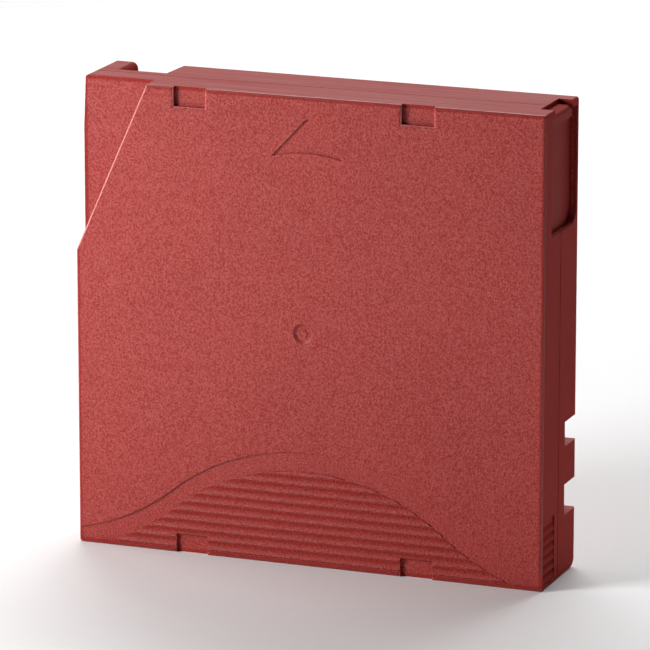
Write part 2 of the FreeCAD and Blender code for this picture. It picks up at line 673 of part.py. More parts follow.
def make_upper_shell():
    shell = slab(0, Y_FACE, Y_SEAM, CORNER_R).cut(step_region(0, Y_FACE - 1, Y_FACE + STEP_DEPTH))
    shell = rim_rounded(shell, Y_FACE)
    cavity = slab(WALL, Y_CEILING, Y_SEAM + 1, CORNER_R)
    keep = [step_region(STEP_WALL, Y_FACE - 1, Y_FACE + STEP_DEPTH + CEILING_T)]
    for side in (-1, 1):
        x = REEL_X + side * POCKET_SPACING / 2
        half = POCKET_W / 2 + POCKET_FLOOR_T
        y1 = Y_FACE + POCKET_DEPTH + POCKET_FLOOR_T
        for z0, z1 in ((-1, POCKET_L + POCKET_FLOOR_T), (FRONT - POCKET_L - POCKET_FLOOR_T, FRONT + 1)):
            keep.append(block(x - half, x + half, Y_FACE, y1, z0, z1))
    for piece in keep:
        cavity = cavity.cut(piece)
    shell = shell.cut(cavity).cut(rod_channel())
    adds = ring_walls(Y_CEILING - ROOT, Y_CEILING + RING_H) + holding_ribs()
    for x, z in screw_places():
        adds.append(disc(x, z, BOSS_R, Y_CEILING - ROOT, Y_SEAM))
    adds.append(key_cross(KEY_W, KEY_SPAN, Y_CEILING - ROOT, Y_KEY_END))
    spring_r = BRAKE_COIL_R + BRAKE_WIRE / 2 + CUP_CLEAR
    adds.append(ring(REEL_X, REEL_Z, spring_r + CUP_T, spring_r, Y_CEILING - ROOT, Y_CEILING + CUP_H))
    y_pad = Y_PIN_UP - SEAT_GAP
    adds.append(pin_stand(y_pad - ROOT / 2, Y_PIN_UP + PIN_END_L, Y_CEILING - ROOT, y_pad))
    adds.append(block(DOOR_IN - DOOR_GAP - RAIL_T, DOOR_IN - DOOR_GAP, Y_CEILING - ROOT, Y_CEILING + RAIL_H,
                      RAIL_END, OPENING_REAR))
    shell = fused(shell, *adds)
    shell = shell.cut(Part.makeCompound(face_marks()))
    shell = shell.cut(Part.makeCompound(side_grips()))
    # openings come last, so that no added wall reaches into them
    cuts = door_opening() + [door_channel(), label_recess(), seam_step(Y_SEAM - SEAM, Y_SEAM + 1)]
    cuts.append(step_region(0, Y_FACE + 2 * EDGE_R, Y_FACE + STEP_DEPTH))
    y_end = Y_BASE - SCREW_SINK - SCREW_HEAD_T - SCREW_L - SCREW_END_GAP
    for x, z in screw_places():
        cuts.append(disc(x, z, SCREW_R + SCREW_GAP / 2, y_end, Y_SEAM + PAST))
    for cut in cuts:
        shell = shell.cut(cut)
    return shell.removeSplitter()


# ======================= the lower shell =======================
def make_lower_shell():
    shell = rim_rounded(slab(0, Y_SEAM, Y_BASE, CORNER_R), Y_BASE)
    shell = shell.common(rear_rounded(Y_SEAM))
    shell = shell.cut(slab(WALL, Y_SEAM - 1, Y_FLOOR, CORNER_R)).cut(rod_channel())
    body = slab(0, Y_SEAM, Y_BASE, CORNER_R)
    adds = [notch.common(body) for notch in side_notches(NOTCH_WALL, Y_BASE - NOTCH_HEIGHT - NOTCH_WALL)]
    adds.append(hook_notch(HOOK_SKIN, Y_BASE - HOOK_HEIGHT - HOOK_SKIN).common(body))
    within = block(LEFT + EDGE_R, RIGHT - EDGE_R, Y_SEAM, Y_BASE - EDGE_R, EDGE_R, FRONT - EDGE_R)
    adds = [piece.common(within) for piece in adds]
    adds += [wall.cut(board_room()) for wall in ring_walls(Y_FLOOR - RING_H, Y_FLOOR + ROOT)]
    for x, z in screw_places():
        adds.append(disc(x, z, BOSS_R, Y_SEAM, Y_FLOOR + ROOT))
        head_y = Y_BASE - SCREW_SINK - SCREW_HEAD_T
        adds.append(disc(x, z, SCREW_HEAD_R + HEAD_GAP + HEAD_WALL, head_y - HEAD_SEAT_T, Y_FLOOR + ROOT))
    y_pad = Y_PIN_LOW + SEAT_GAP
    adds.append(pin_stand(Y_PIN_LOW - PIN_END_L, y_pad + ROOT / 2, y_pad, Y_FLOOR + ROOT))
    adds.append(block(DOOR_IN - DOOR_GAP - RAIL_T, DOOR_IN - DOOR_GAP, Y_FLOOR - RAIL_H, Y_FLOOR + ROOT,
                      RAIL_END, OPENING_REAR))
    adds.append(block(DOOR_IN - DOOR_GAP, RIGHT - DOOR_WALL + ROOT, Y_SEAM + SEAM, Y_FLOOR + ROOT,
                      ANCHOR_Z, ANCHOR_Z + ANCHOR_T))
    adds.append(block(DOOR_IN - DOOR_GAP, RIGHT - DOOR_WALL - WALL_GAP, ROD_Y - ANCHOR_RISE, Y_SEAM + PAST,
                      ANCHOR_Z, ANCHOR_Z + ANCHOR_T))
    adds += locating_bosses(LOCATING_WALL, LOCATING_DEPTH + LOCATING_WALL)
    adds += leaf_holder()
    adds += tab_rails()
    adds += board_seats()
    shell = fused(shell, *adds)
    cuts = door_opening() + [door_channel(), label_recess(), seam_step(Y_SEAM - 1, Y_SEAM + SEAM)]
    cuts += side_notches(0, Y_BASE - NOTCH_HEIGHT)
    cuts.append(hook_notch(0, Y_BASE - HOOK_HEIGHT))
    cuts.append(disc(REEL_X, REEL_Z, OPENING_R, Y_FLOOR - 1, Y_BASE + 1))
    cuts += locating_bosses(0, LOCATING_DEPTH)
    x0, x1 = [LEFT + x for x in TAB_WINDOW]
    cuts.append(block(x0, x1, Y_WINDOW_UP, Y_WINDOW_LOW, -PAST, WALL + PAST))
    cuts.append(Part.makeCylinder(ROD_HOLE_R, ANCHOR_T + 2, Vector(ROD_X, ROD_Y, ANCHOR_Z - 1)))
    for x, z in screw_places():
        cuts.append(disc(x, z, SCREW_R + SCREW_GAP, Y_SEAM - 1, Y_BASE))
        cuts.append(disc(x, z, SCREW_HEAD_R + HEAD_GAP, Y_BASE - SCREW_SINK - SCREW_HEAD_T, Y_BASE + 1))
    for cut in cuts:
        shell = shell.cut(cut)
    return shell.removeSplitter()


def locating_bosses(wall, depth):
    """The round and the slotted locating hole, grown by wall."""
    z = FRONT - LOCATING_Z
    radius = LOCATING_R + wall
    y0 = Y_BASE - depth
    y1 = Y_BASE - EDGE_R if wall else Y_BASE + PAST
    round_hole = disc(REEL_X - LOCATING_X, z, radius, y0, y1)
    x = REEL_X + LOCATING_X
    half = LOCATING_SLOT / 2
    slot = disc(x - half, z, radius, y0, y1).fuse(disc(x + half, z, radius, y0, y1))
    slot = slot.fuse(block(x - half, x + half, y0, y1, z - radius, z + radius))
    return [round_hole, slot.removeSplitter()]


LEAF_X = PIN_X + PIN_END_R + LEAF_REST + LEAF_BEND     # inner face of the leaf spring's base
LEAF_Z0 = FRONT - WALL - LEAF_BASE_L - LEAF_FRONT_GAP


def leaf_holder():
    """Two short walls that grip the leaf spring's base by the front wall."""
    made = []
    y0 = Y_SEAM + SEAM + DOOR_GAP
    z0 = LEAF_Z0 + LEAF_HOLD_START
    for x0 in (LEAF_X - LEAF_HOLD_GAP - LEAF_HOLD_T, LEAF_X + LEAF_T + LEAF_HOLD_GAP):
        made.append(block(x0, x0 + LEAF_HOLD_T, y0, Y_FLOOR + ROOT, z0, FRONT - WALL + ROOT))
    return made


def tab_body_span():
    """Ends of the slider's body at rest, along X."""
    x0 = LEFT + TAB_WINDOW[0] - TAB_OVERLAP
    return x0, LEFT + TAB_WINDOW[1] - TAB_TRAVEL + TAB_OVERLAP


def tab_rails():
    """The two rails that hold the write-protect slider against the rear wall."""
    x0, x1 = LEFT + WALL - ROOT, tab_body_span()[1] + TAB_TRAVEL + TAB_STOP_GAP
    z0 = WALL + TAB_GAP + TAB_T + TAB_GAP
    y_up = Y_WINDOW_UP - TAB_OVERLAP
    y_low = Y_WINDOW_LOW + TAB_OVERLAP
    back = block(x0, x1, y_low - TAB_RAIL_H / 2, Y_FLOOR + ROOT, z0, z0 + TAB_RAIL_T)
    ledge = block(x0, x1, y_low + TAB_GAP, Y_FLOOR + ROOT, WALL - ROOT, z0 + TAB_RAIL_T)
    stop = block(x1, x1 + TAB_STOP_T, y_up, Y_FLOOR + ROOT, WALL - ROOT, z0 + TAB_RAIL_T)
    return [back, ledge, stop]


def board_span():
    """Ends of the memory board along X."""
    x1 = RIGHT - BOARD_FROM_SIDE
    return x1 - BOARD_L, x1


def board_room():
    """What the round walls leave free for the memory board."""
    x0, x1 = board_span()
    reach = BOARD_SEAT + BOARD_ROOM
    return block(x0 - BOARD_ROOM, x1 + BOARD_ROOM, Y_FLOOR - reach, Y_FLOOR + PAST, 0, WALL + reach)


def board_seats():
    """Two right-angled seats that hold the memory board across the rear lower corner."""
    x0, x1 = board_span()
    made = []
    for x in (x0 + BOARD_SEAT_INSET, x1 - BOARD_SEAT_INSET - BOARD_SEAT_T):
        corners = [Vector(x, Y_FLOOR + ROOT, WALL - ROOT), Vector(x, Y_FLOOR + ROOT, WALL + BOARD_SEAT),
                   Vector(x, Y_FLOOR - BOARD_SEAT, WALL - ROOT)]
        face = Part.Face(Part.makePolygon(corners + corners[:1]))
        made.append(face.extrude(Vector(BOARD_SEAT_T, 0, 0)))
    return made


# ======================= the reel =======================
def on_leg_circle(angle):
    """A point of the leg circle, as x and z."""
    turn = math.radians(angle)
    return REEL_X + LEG_CIRCLE_R * math.cos(turn), REEL_Z + LEG_CIRCLE_R * math.sin(turn)


LEG_ANGLES = (90.0, 210.0, 330.0)


def make_reel_hub():
    """Hub, lower flange, drive gear and the three stands of brake teeth, moulded as one."""
    seat_r = OPENING_R + SEAT_CLEAR
    body = [
        ring(REEL_X, REEL_Z, HUB_R, HUB_R - HUB_WALL, Y_TAPE_HIGH - TAPE_GAP, Y_HUB_UNDER),
        disc(REEL_X, REEL_Z, HUB_R, Y_HUB_FLOOR, Y_HUB_UNDER),
        ring(REEL_X, REEL_Z, FLANGE_R, HUB_R - HUB_WALL / 2, Y_FLANGE_LOW - FLANGE_T, Y_FLANGE_LOW),
        ring(REEL_X, REEL_Z, seat_r + SEAT_W, seat_r, Y_FLANGE_LOW - ROOT, Y_GEAR_TIP),
        ring(REEL_X, REEL_Z, GEAR_R_OUT, GEAR_R_IN, Y_HUB_UNDER - ROOT, Y_HUB_UNDER + GEAR_ROOT_T),
    ]
    pitch = 360.0 / BRAKE_TEETH
    for angle in LEG_ANGLES:
        # +Z of the local frame runs along +Y, which mirrors the sense of the angles
        start = -angle - 60.0 - STAND_SPAN / 2
        body.append(arc_sector(BRAKE_R_OUT, BRAKE_R_IN, start, STAND_SPAN, Y_STAND, Y_HUB_FLOOR + ROOT))
    hub = fused(body[0], *body[1:])

    def clear_of_legs(number):
        turn = (number * 360.0 / GEAR_TEETH) % 120.0
        return abs(turn - 30.0) > LEG_TOOTHLESS

    height = Y_GEAR_TIP - Y_HUB_UNDER - GEAR_ROOT_T
    gear = tooth_ring(GEAR_R_OUT, GEAR_R_IN, GEAR_TEETH, height, GEAR_SHAPE, clear_of_legs)
    gear = [on_reel_axis(tooth, Y_HUB_UNDER + GEAR_ROOT_T - TOOTH_ROOT) for tooth in gear]

    def on_stand(number):
        turn = (number * pitch) % 120.0
        return abs(turn - 30.0) < STAND_SPAN / 2 - pitch / 2

    stands = []
    for tooth in tooth_ring(BRAKE_R_OUT, BRAKE_R_IN, BRAKE_TEETH, BRAKE_TOOTH_H, BRAKE_SHAPE, on_stand):
        tooth.rotate(Vector(0, 0, 0), Vector(1, 0, 0), 180)
        stands.append(on_reel_axis(tooth, Y_STAND + TOOTH_ROOT))
    hub = hub.multiFuse(gear + stands)
    holes = [disc(*on_leg_circle(angle), LEG_HOLE_R, Y_HUB_FLOOR - 1, Y_GEAR_TIP + 1) for angle in LEG_ANGLES]
    return hub.cut(Part.makeCompound(holes))


def make_upper_flange():
    """Flat flange with a short spigot that is welded into the hub."""
    r_spigot = HUB_R - HUB_WALL - SPIGOT_GAP
    y1 = Y_FLANGE_UP + FLANGE_T
    flange = ring(REEL_X, REEL_Z, FLANGE_R, r_spigot - HUB_WALL, Y_FLANGE_UP, y1)
    spigot = ring(REEL_X, REEL_Z, r_spigot, r_spigot - HUB_WALL, Y_FLANGE_UP, y1 + SPIGOT_H)
    return fused(flange, spigot)


def make_drive_plate():
    """Steel ring that the drive's magnet holds."""
    return ring(REEL_X, REEL_Z, PLATE_R_OUT, PLATE_R_IN, Y_HUB_UNDER, Y_HUB_UNDER + PLATE_T)


def make_tape_pack():
    """All turns of the tape, as one ring."""
    return ring(REEL_X, REEL_Z, PACK_R, HUB_R + PACK_GAP, Y_TAPE_HIGH, Y_TAPE_LOW)


# ======================= the brake and its release =======================
def make_brake_button():
    """Disc with a ring of face teeth, a slotted post for the ceiling's key and a nub for the spider."""
    parts = [
        disc(REEL_X, REEL_Z, BRAKE_R_OUT, Y_BRAKE_TOP, Y_BRAKE_DISC),
        ring(REEL_X, REEL_Z, BRAKE_R_OUT, BRAKE_R_IN, Y_BRAKE_DISC - ROOT, Y_BRAKE_ROOT),
        disc(REEL_X, REEL_Z, BRAKE_POST_R, Y_POST_TOP, Y_BRAKE_TOP + ROOT),
        disc(REEL_X, REEL_Z, NUB_R, Y_BRAKE_DISC - ROOT, Y_BRAKE_DISC + NUB_H),
    ]
    button = fused(parts[0], *parts[1:])
    teeth = []
    for tooth in tooth_ring(BRAKE_R_OUT, BRAKE_R_IN, BRAKE_TEETH, BRAKE_TOOTH_H, BRAKE_SHAPE):
        tooth.rotate(Vector(0, 0, 0), Vector(0, 0, 1), 180.0 / BRAKE_TEETH)
        teeth.append(on_reel_axis(tooth, Y_BRAKE_ROOT - TOOTH_ROOT))
    button = button.multiFuse(teeth)
    return button.cut(key_cross(KEY_W + 2 * KEY_GAP, KEY_SPAN + 2 * KEY_GAP, Y_POST_TOP - 1, Y_BRAKE_TOP))


def make_brake_spring():
    """Coil between the ceiling and the brake button."""
    length = Y_BRAKE_TOP - Y_CEILING - 2 * SPRING_GAP
    return on_reel_axis(coil(BRAKE_COIL_R, BRAKE_WIRE, BRAKE_TURNS, length), Y_CEILING + SPRING_GAP)


def make_release_spider():
    """Three arms on the hub floor whose legs reach through it to the drive's side."""
    boss_top = Y_BRAKE_DISC + NUB_H + NUB_GAP
    parts = [disc(REEL_X, REEL_Z, BRAKE_R_IN - SPIDER_DISC_CLEAR, Y_SPIDER_TOP, Y_SPIDER_LOW),
             disc(REEL_X, REEL_Z, NUB_R + SPIDER_BOSS_T, boss_top, Y_SPIDER_TOP + ROOT)]
    for angle in LEG_ANGLES:
        arm = block(REEL_X, REEL_X + LEG_CIRCLE_R, Y_SPIDER_TOP, Y_SPIDER_LOW,
                    REEL_Z - SPIDER_ARM_W / 2, REEL_Z + SPIDER_ARM_W / 2)
        arm.rotate(Vector(REEL_X, 0, REEL_Z), Vector(0, -1, 0), angle)
        x, z = on_leg_circle(angle)
        parts += [arm, disc(x, z, SPIDER_ARM_W / 2, Y_SPIDER_TOP, Y_SPIDER_LOW),
                  disc(x, z, LEG_R, Y_SPIDER_LOW - ROOT, Y_GEAR_TIP - LEG_SHORT)]
    return fused(parts[0], *parts[1:])


# ======================= the door =======================
def make_door():
    """Sliding plate with an opener's head at the front and a spring rod at the rear."""
    plate = block(DOOR_IN, DOOR_OUT, Y_DOOR_UP, Y_DOOR_LOW, DOOR_REAR, DOOR_FRONT)
    y0 = Y_OPENING_UP + DOOR_GAP * 2
    y1 = Y_SLOT_LOW - DOOR_GAP * 2
    head = block(DOOR_IN, DOOR_OUT + DOOR_HEAD_OUT, y0, y1, DOOR_FRONT - DOOR_HEAD_L, DOOR_FRONT)
    outer = [e for e in head.Edges
             if abs(e.tangentAt(e.FirstParameter).y) > 0.99 and e.CenterOfMass.x > DOOR_OUT
             and e.CenterOfMass.z > DOOR_FRONT - DOOR_HEAD_L / 2]
    head = head.makeFillet(min(DOOR_HEAD_R, DOOR_HEAD_L / 2), outer)
    rod = Part.makeCylinder(ROD_R, DOOR_REAR - ROD_END + ROOT, Vector(ROD_X, ROD_Y, ROD_END))
    # beside the opener's slot the door stops short of the front wall
    z0 = FRONT - DOOR_POST - DOOR_GAP
    notch = [block(DOOR_IN - PAST, RIGHT + PAST, Y_DOOR_UP - PAST, Y_SLOT_UP + DOOR_GAP * 2, z0, FRONT),
             block(DOOR_IN - PAST, RIGHT + PAST, y1, Y_DOOR_LOW + PAST, z0, FRONT)]
    door = fused(plate, head, rod)
    return door.cut(Part.makeCompound(notch))


def make_door_spring():
    """Long coil round the door's rod, between the door and the anchor wall."""
    z0 = ANCHOR_Z + ANCHOR_T + SPRING_GAP
    spring = coil(DOOR_COIL_R, DOOR_WIRE, DOOR_TURNS, DOOR_REAR - SPRING_GAP - z0)
    spring.translate(Vector(ROD_X, ROD_Y, z0))
    return spring


# ======================= the leader pin =======================
def make_leader_pin():
    """Turned pin: a wide end, a hook groove and a collar at each end of its body."""
    half = PIN_L / 2
    radii = ((PIN_END_R, PIN_END_L), (PIN_NECK_R, PIN_NECK_L), (PIN_END_R, PIN_COLLAR_L))
    points = [Vector(0, -half, 0)]
    y = -half
    for radius, length in radii:
        points += [Vector(radius, y, 0), Vector(radius, y + length, 0)]
        y += length
    points += [Vector(PIN_BODY_R, y, 0)]
    points += [Vector(p.x, -p.y, 0) for p in reversed(points)]
    profile = Part.Face(Part.makePolygon(points + points[:1]))
    pin = profile.revolve(Vector(0, 0, 0), Vector(0, 1, 0), 360)
    pin.translate(Vector(PIN_X, Y_TAPE_MID, PIN_Z))
    return pin


def tape_line():
    """Tangent point on the pack and the unit vector from it to the pin, as (x, z) pairs."""
    dx, dz = PIN_X - REEL_X, PIN_Z - REEL_Z
    distance = math.hypot(dx, dz)
    radius = PACK_R + TAPE_T
    angle = math.atan2(dz, dx) + math.acos(radius / distance)
    touch = (REEL_X + radius * math.cos(angle), REEL_Z + radius * math.sin(angle))
    along = (math.sin(angle), -math.cos(angle))
    return touch, along, math.sqrt(distance ** 2 - radius ** 2)


def make_pin_clamp():
    """Springy sleeve that grips the tape round the pin, slit on the tape's side."""
    half = PIN_L / 2 - PIN_END_L - PIN_NECK_L - PIN_COLLAR_L - CLAMP_GAP
    sleeve = ring(PIN_X, PIN_Z, CLAMP_R, PIN_BODY_R + CLAMP_GAP, Y_TAPE_MID - half, Y_TAPE_MID + half)
    touch, along, length = tape_line()
    slit = block(PIN_X - CLAMP_R - PAST, PIN_X - PIN_BODY_R / 2, Y_TAPE_MID - half - 1, Y_TAPE_MID + half + 1,
                 PIN_Z - CLAMP_SLOT / 2, PIN_Z + CLAMP_SLOT / 2)
    angle = math.degrees(math.atan2(along[1], along[0]))
    slit.rotate(Vector(PIN_X, 0, PIN_Z), Vector(0, -1, 0), angle)
    return sleeve.cut(slit)


def make_tape_end():
    """The tape's free end, from the pack to the pin."""
    touch, along, length = tape_line()
    end = length - PIN_BODY_R - 2 * CLAMP_GAP
    start = TAPE_START
    strip = block(start, end, Y_TAPE_HIGH, Y_TAPE_LOW, 0, TAPE_T)
    strip.rotate(Vector(0, 0, 0), Vector(0, -1, 0), math.degrees(math.atan2(along[1], along[0])))
    strip.translate(Vector(touch[0], 0, touch[1]))
    return strip


def make_pin_leaf_spring():
    """Stamped leaf: a base held by the front wall and two bowed arms that press on the pin's ends."""
    z_tip = PIN_Z - PIN_END_R - LEAF_TIP_L
    x_press = PIN_X + PIN_END_R + LEAF_REST

    def bowed(x_shift):
        places = ((LEAF_X, FRONT - WALL - LEAF_FRONT_GAP), (LEAF_X, LEAF_Z0), (x_press, PIN_Z),
                  (LEAF_X - LEAF_TIP_BEND, z_tip))
        return [Vector(x + x_shift, 0, z) for x, z in places]

    inner, outer = bowed(0), bowed(LEAF_T)
    outline = Part.Face(Part.makePolygon(inner + outer[::-1] + inner[:1]))
    leaf = outline.extrude(Vector(0, PIN_L, 0))
    leaf.translate(Vector(0, Y_PIN_UP, 0))
    window = block(PIN_X, RIGHT, Y_PIN_UP + PIN_END_L, Y_PIN_LOW - PIN_END_L, 0, LEAF_Z0)
    return leaf.cut(window)


# ======================= small parts =======================
def make_case_screws():
    """Four self-tapping screws with cross recesses."""
    screws = []
    for x, z in screw_places():
        y_head = Y_BASE - SCREW_SINK
        screw = fused(disc(x, z, SCREW_HEAD_R, y_head - SCREW_HEAD_T, y_head),
                      disc(x, z, SCREW_R, y_head - SCREW_HEAD_T - SCREW_L, y_head - SCREW_HEAD_T + ROOT))
        half, reach = DRIVE_W / 2, DRIVE_SPAN / 2
        y0 = y_head - DRIVE_DEPTH
        cross = block(x - reach, x + reach, y0, y_head + 1, z - half, z + half)
        cross = cross.fuse(block(x - half, x + half, y0, y_head + 1, z - reach, z + reach))
        screws.append(screw.cut(cross))
    return Part.makeCompound(screws)


def make_write_protect_tab():
    """Slider behind the rear wall, with a grooved finger pad in the window."""
    x0, x1 = tab_body_span()
    y0 = Y_WINDOW_UP - TAB_OVERLAP
    y1 = Y_WINDOW_LOW + TAB_OVERLAP
    body = block(x0, x1, y0, y1, WALL + TAB_GAP, WALL + TAB_GAP + TAB_T)
    pad = block(LEFT + TAB_WINDOW[0] + TAB_GAP, LEFT + TAB_WINDOW[1] - TAB_TRAVEL - TAB_GAP,
                Y_WINDOW_UP + TAB_GAP, Y_WINDOW_LOW - TAB_GAP,
                TAB_KNOB_SINK, WALL + TAB_GAP + ROOT)
    tab = fused(body, pad)
    middle = LEFT + (TAB_WINDOW[0] + TAB_WINDOW[1] - TAB_TRAVEL) / 2
    z1 = TAB_KNOB_SINK + TAB_GROOVE_DEPTH
    for number in range(TAB_GROOVES):
        x = middle + (number - (TAB_GROOVES - 1) / 2) * TAB_GROOVE_PITCH
        half = TAB_GROOVE_W / 2
        tab = tab.cut(block(x - half, x + half, y0, y1, TAB_KNOB_SINK - PAST, z1))
    return tab


def board_slope():
    """Where the board begins and ends along the seats' slope."""
    slope = BOARD_SEAT * math.sqrt(2)
    return (slope - BOARD_W) / 2, (slope + BOARD_W) / 2


def make_memory_board():
    x0, x1 = board_span()
    start, end = board_slope()
    return on_slope(block(x0, x1, start, end, 0, BOARD_T), 0, BOARD_GAP)


def make_memory_chip():
    x0, x1 = board_span()
    start, end = board_slope()
    chip = Part.makeCylinder(CHIP_R, CHIP_T, Vector((x0 + x1) / 2, 0, 0), Vector(0, 0, 1))
    return on_slope(chip, (start + end) / 2, BOARD_GAP + BOARD_T)


def on_slope(shape, along, off):
    """Puts a shape, made flat at z = 0 with +Y as the slope's direction, on the seats' slope."""
    shape.translate(Vector(0, along, off))
    shape.rotate(Vector(0, 0, 0), Vector(1, 0, 0), 45)
    shape.translate(Vector(0, Y_FLOOR - BOARD_SEAT, WALL))
    return shape


NODES = {
    "upper_shell": make_upper_shell,
    "lower_shell": make_lower_shell,
    "case_screws": make_case_screws,
    "reel_hub": make_reel_hub,
    "reel_upper_flange": make_upper_flange,
    "reel_drive_plate": make_drive_plate,
    "tape_pack": make_tape_pack,
    "tape_free_end": make_tape_end,
    "leader_pin": make_leader_pin,
    "leader_pin_clamp": make_pin_clamp,
    "leader_pin_spring": make_pin_leaf_spring,
    "brake_button": make_brake_button,
    "brake_spring": make_brake_spring,
    "release_spider": make_release_spider,
    "tape_door": make_door,
    "door_spring": make_door_spring,
    "write_protect_tab": make_write_protect_tab,
    "memory_board": make_memory_board,
    "memory_chip": make_memory_chip,
}


def main():
    os.makedirs("parts", exist_ok=True)
    for name, make in NODES.items():
        shape = make()
        solids = shape.Solids
        if len(solids) > 1 and name != "case_screws":
            print("note:", name, "has", len(solids), "solids")
        body = solids[0] if len(solids) == 1 else Part.makeCompound(solids)
        body.exportStep(f"parts/{name}.step")
        box = body.BoundBox
        print(f"{name:20s} valid {body.isValid()} solids {len(solids)} volume {body.Volume:10.2f} "
              f"x {box.XMin:.2f} {box.XMax:.2f} y {box.YMin:.2f} {box.YMax:.2f} z {box.ZMin:.2f} {box.ZMax:.2f}")


main()
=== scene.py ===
"""Dresses the data tape cartridge, and sets it on a seamless floor under soft light.

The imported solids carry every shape. This file gives each node the surface of the real material, at its real
scale: grained and satin mouldings, drawn, pressed and turned steel, wound film and a lacquered board.
"""

from __future__ import annotations

import json
import logging
import math
from dataclasses import dataclass
from enum import Enum
from typing import Protocol

import bpy
import numpy as np
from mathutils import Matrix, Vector

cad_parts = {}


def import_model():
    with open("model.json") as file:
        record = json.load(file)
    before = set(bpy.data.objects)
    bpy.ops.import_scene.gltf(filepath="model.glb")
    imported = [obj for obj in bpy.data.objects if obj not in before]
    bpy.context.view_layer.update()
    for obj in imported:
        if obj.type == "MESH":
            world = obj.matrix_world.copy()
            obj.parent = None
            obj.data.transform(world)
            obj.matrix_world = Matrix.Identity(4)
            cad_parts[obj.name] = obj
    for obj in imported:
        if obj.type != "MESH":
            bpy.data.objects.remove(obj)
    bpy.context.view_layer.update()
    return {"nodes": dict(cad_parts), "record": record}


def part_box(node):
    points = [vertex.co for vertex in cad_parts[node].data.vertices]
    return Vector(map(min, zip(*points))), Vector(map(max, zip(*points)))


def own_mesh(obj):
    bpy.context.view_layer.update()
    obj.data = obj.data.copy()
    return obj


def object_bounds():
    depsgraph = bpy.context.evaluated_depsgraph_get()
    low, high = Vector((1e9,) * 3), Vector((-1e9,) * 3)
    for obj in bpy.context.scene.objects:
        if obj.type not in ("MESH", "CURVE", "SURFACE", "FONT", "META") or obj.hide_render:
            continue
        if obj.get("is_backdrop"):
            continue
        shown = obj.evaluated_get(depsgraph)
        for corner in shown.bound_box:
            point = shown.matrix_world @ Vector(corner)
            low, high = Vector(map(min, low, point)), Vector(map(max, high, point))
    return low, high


LOG = logging.getLogger("cartridge")
MM = 0.001

Colour = tuple[float, float, float]


# ---------------------------------------------------------------------------- shader maths


class Signal:
    """A shader socket that can be used in Python expressions."""

    def __init__(self, shader: "Shader", socket: bpy.types.NodeSocket) -> None:
        """Wraps a socket.

        Args:
            shader: The shader that the socket belongs to.
            socket: The output socket.
        """
        self.shader = shader
        self.socket = socket

    def _math(self, operation: str, *values: "Signal | float") -> "Signal":
        """Adds one Math node.

        Args:
            operation: The Math node's operation.
            values: Its inputs, in order.

        Returns:
            The node's result.
        """
        return self.shader.add("ShaderNodeMath", {"operation": operation}, dict(enumerate(values)))

    def __add__(self, other: "Signal | float") -> "Signal":
        """Sum."""
        return self._math("ADD", self, other)

    __radd__ = __add__

    def __sub__(self, other: "Signal | float") -> "Signal":
        """Difference."""
        return self._math("SUBTRACT", self, other)

    def __rsub__(self, other: "Signal | float") -> "Signal":
        """Difference, the other way round."""
        return self._math("SUBTRACT", other, self)

    def __mul__(self, other: "Signal | float") -> "Signal":
        """Product."""
        return self._math("MULTIPLY", self, other)

    __rmul__ = __mul__

    def __truediv__(self, other: "Signal | float") -> "Signal":
        """Quotient."""
        return self._math("DIVIDE", self, other)

    def __abs__(self) -> "Signal":
        """Size without sign."""
        return self._math("ABSOLUTE", self)

    def __pow__(self, other: float) -> "Signal":
        """Power."""
        return self._math("POWER", self, other)

    def smaller(self, other: "Signal | float") -> "Signal":
        """The smaller of the two."""
        return self._math("MINIMUM", self, other)

    def larger(self, other: "Signal | float") -> "Signal":
        """The larger of the two."""
        return self._math("MAXIMUM", self, other)

    def fraction(self) -> "Signal":
        """What is left after the whole number."""
        return self._math("FRACT", self)

    def between(self, low: float, high: float, out_low: float = 0.0, out_high: float = 1.0) -> "Signal":
        """Goes smoothly from out_low to out_high while this goes from low to high.

        Args:
            low: Value that gives out_low.
            high: Value that gives out_high.
            out_low: First result.
            out_high: Last result.

        Returns:
            The eased value.
        """
        settings = {"interpolation_type": "SMOOTHSTEP"}
        values = {"Value": self, "From Min": low, "From Max": high, "To Min": out_low, "To Max": out_high}
        return self.shader.add("ShaderNodeMapRange", settings, values)

    def falls(self, low: float, high: float) -> "Signal":
        """Goes smoothly from 1 to 0 while this goes from low to high."""
        return self.between(low, high, 1.0, 0.0)

    def band(self, start: float, full: float, still: float, end: float) -> "Signal":
        """Is 1 inside a band of values and 0 outside it.

        Args:
            start: Value at which it leaves 0.
            full: Value at which it reaches 1.
            still: Value up to which it stays 1.
            end: Value at which it is 0 again.

        Returns:
            The share.
        """
        return self.between(start, full) * self.falls(still, end)


Value = Signal | float


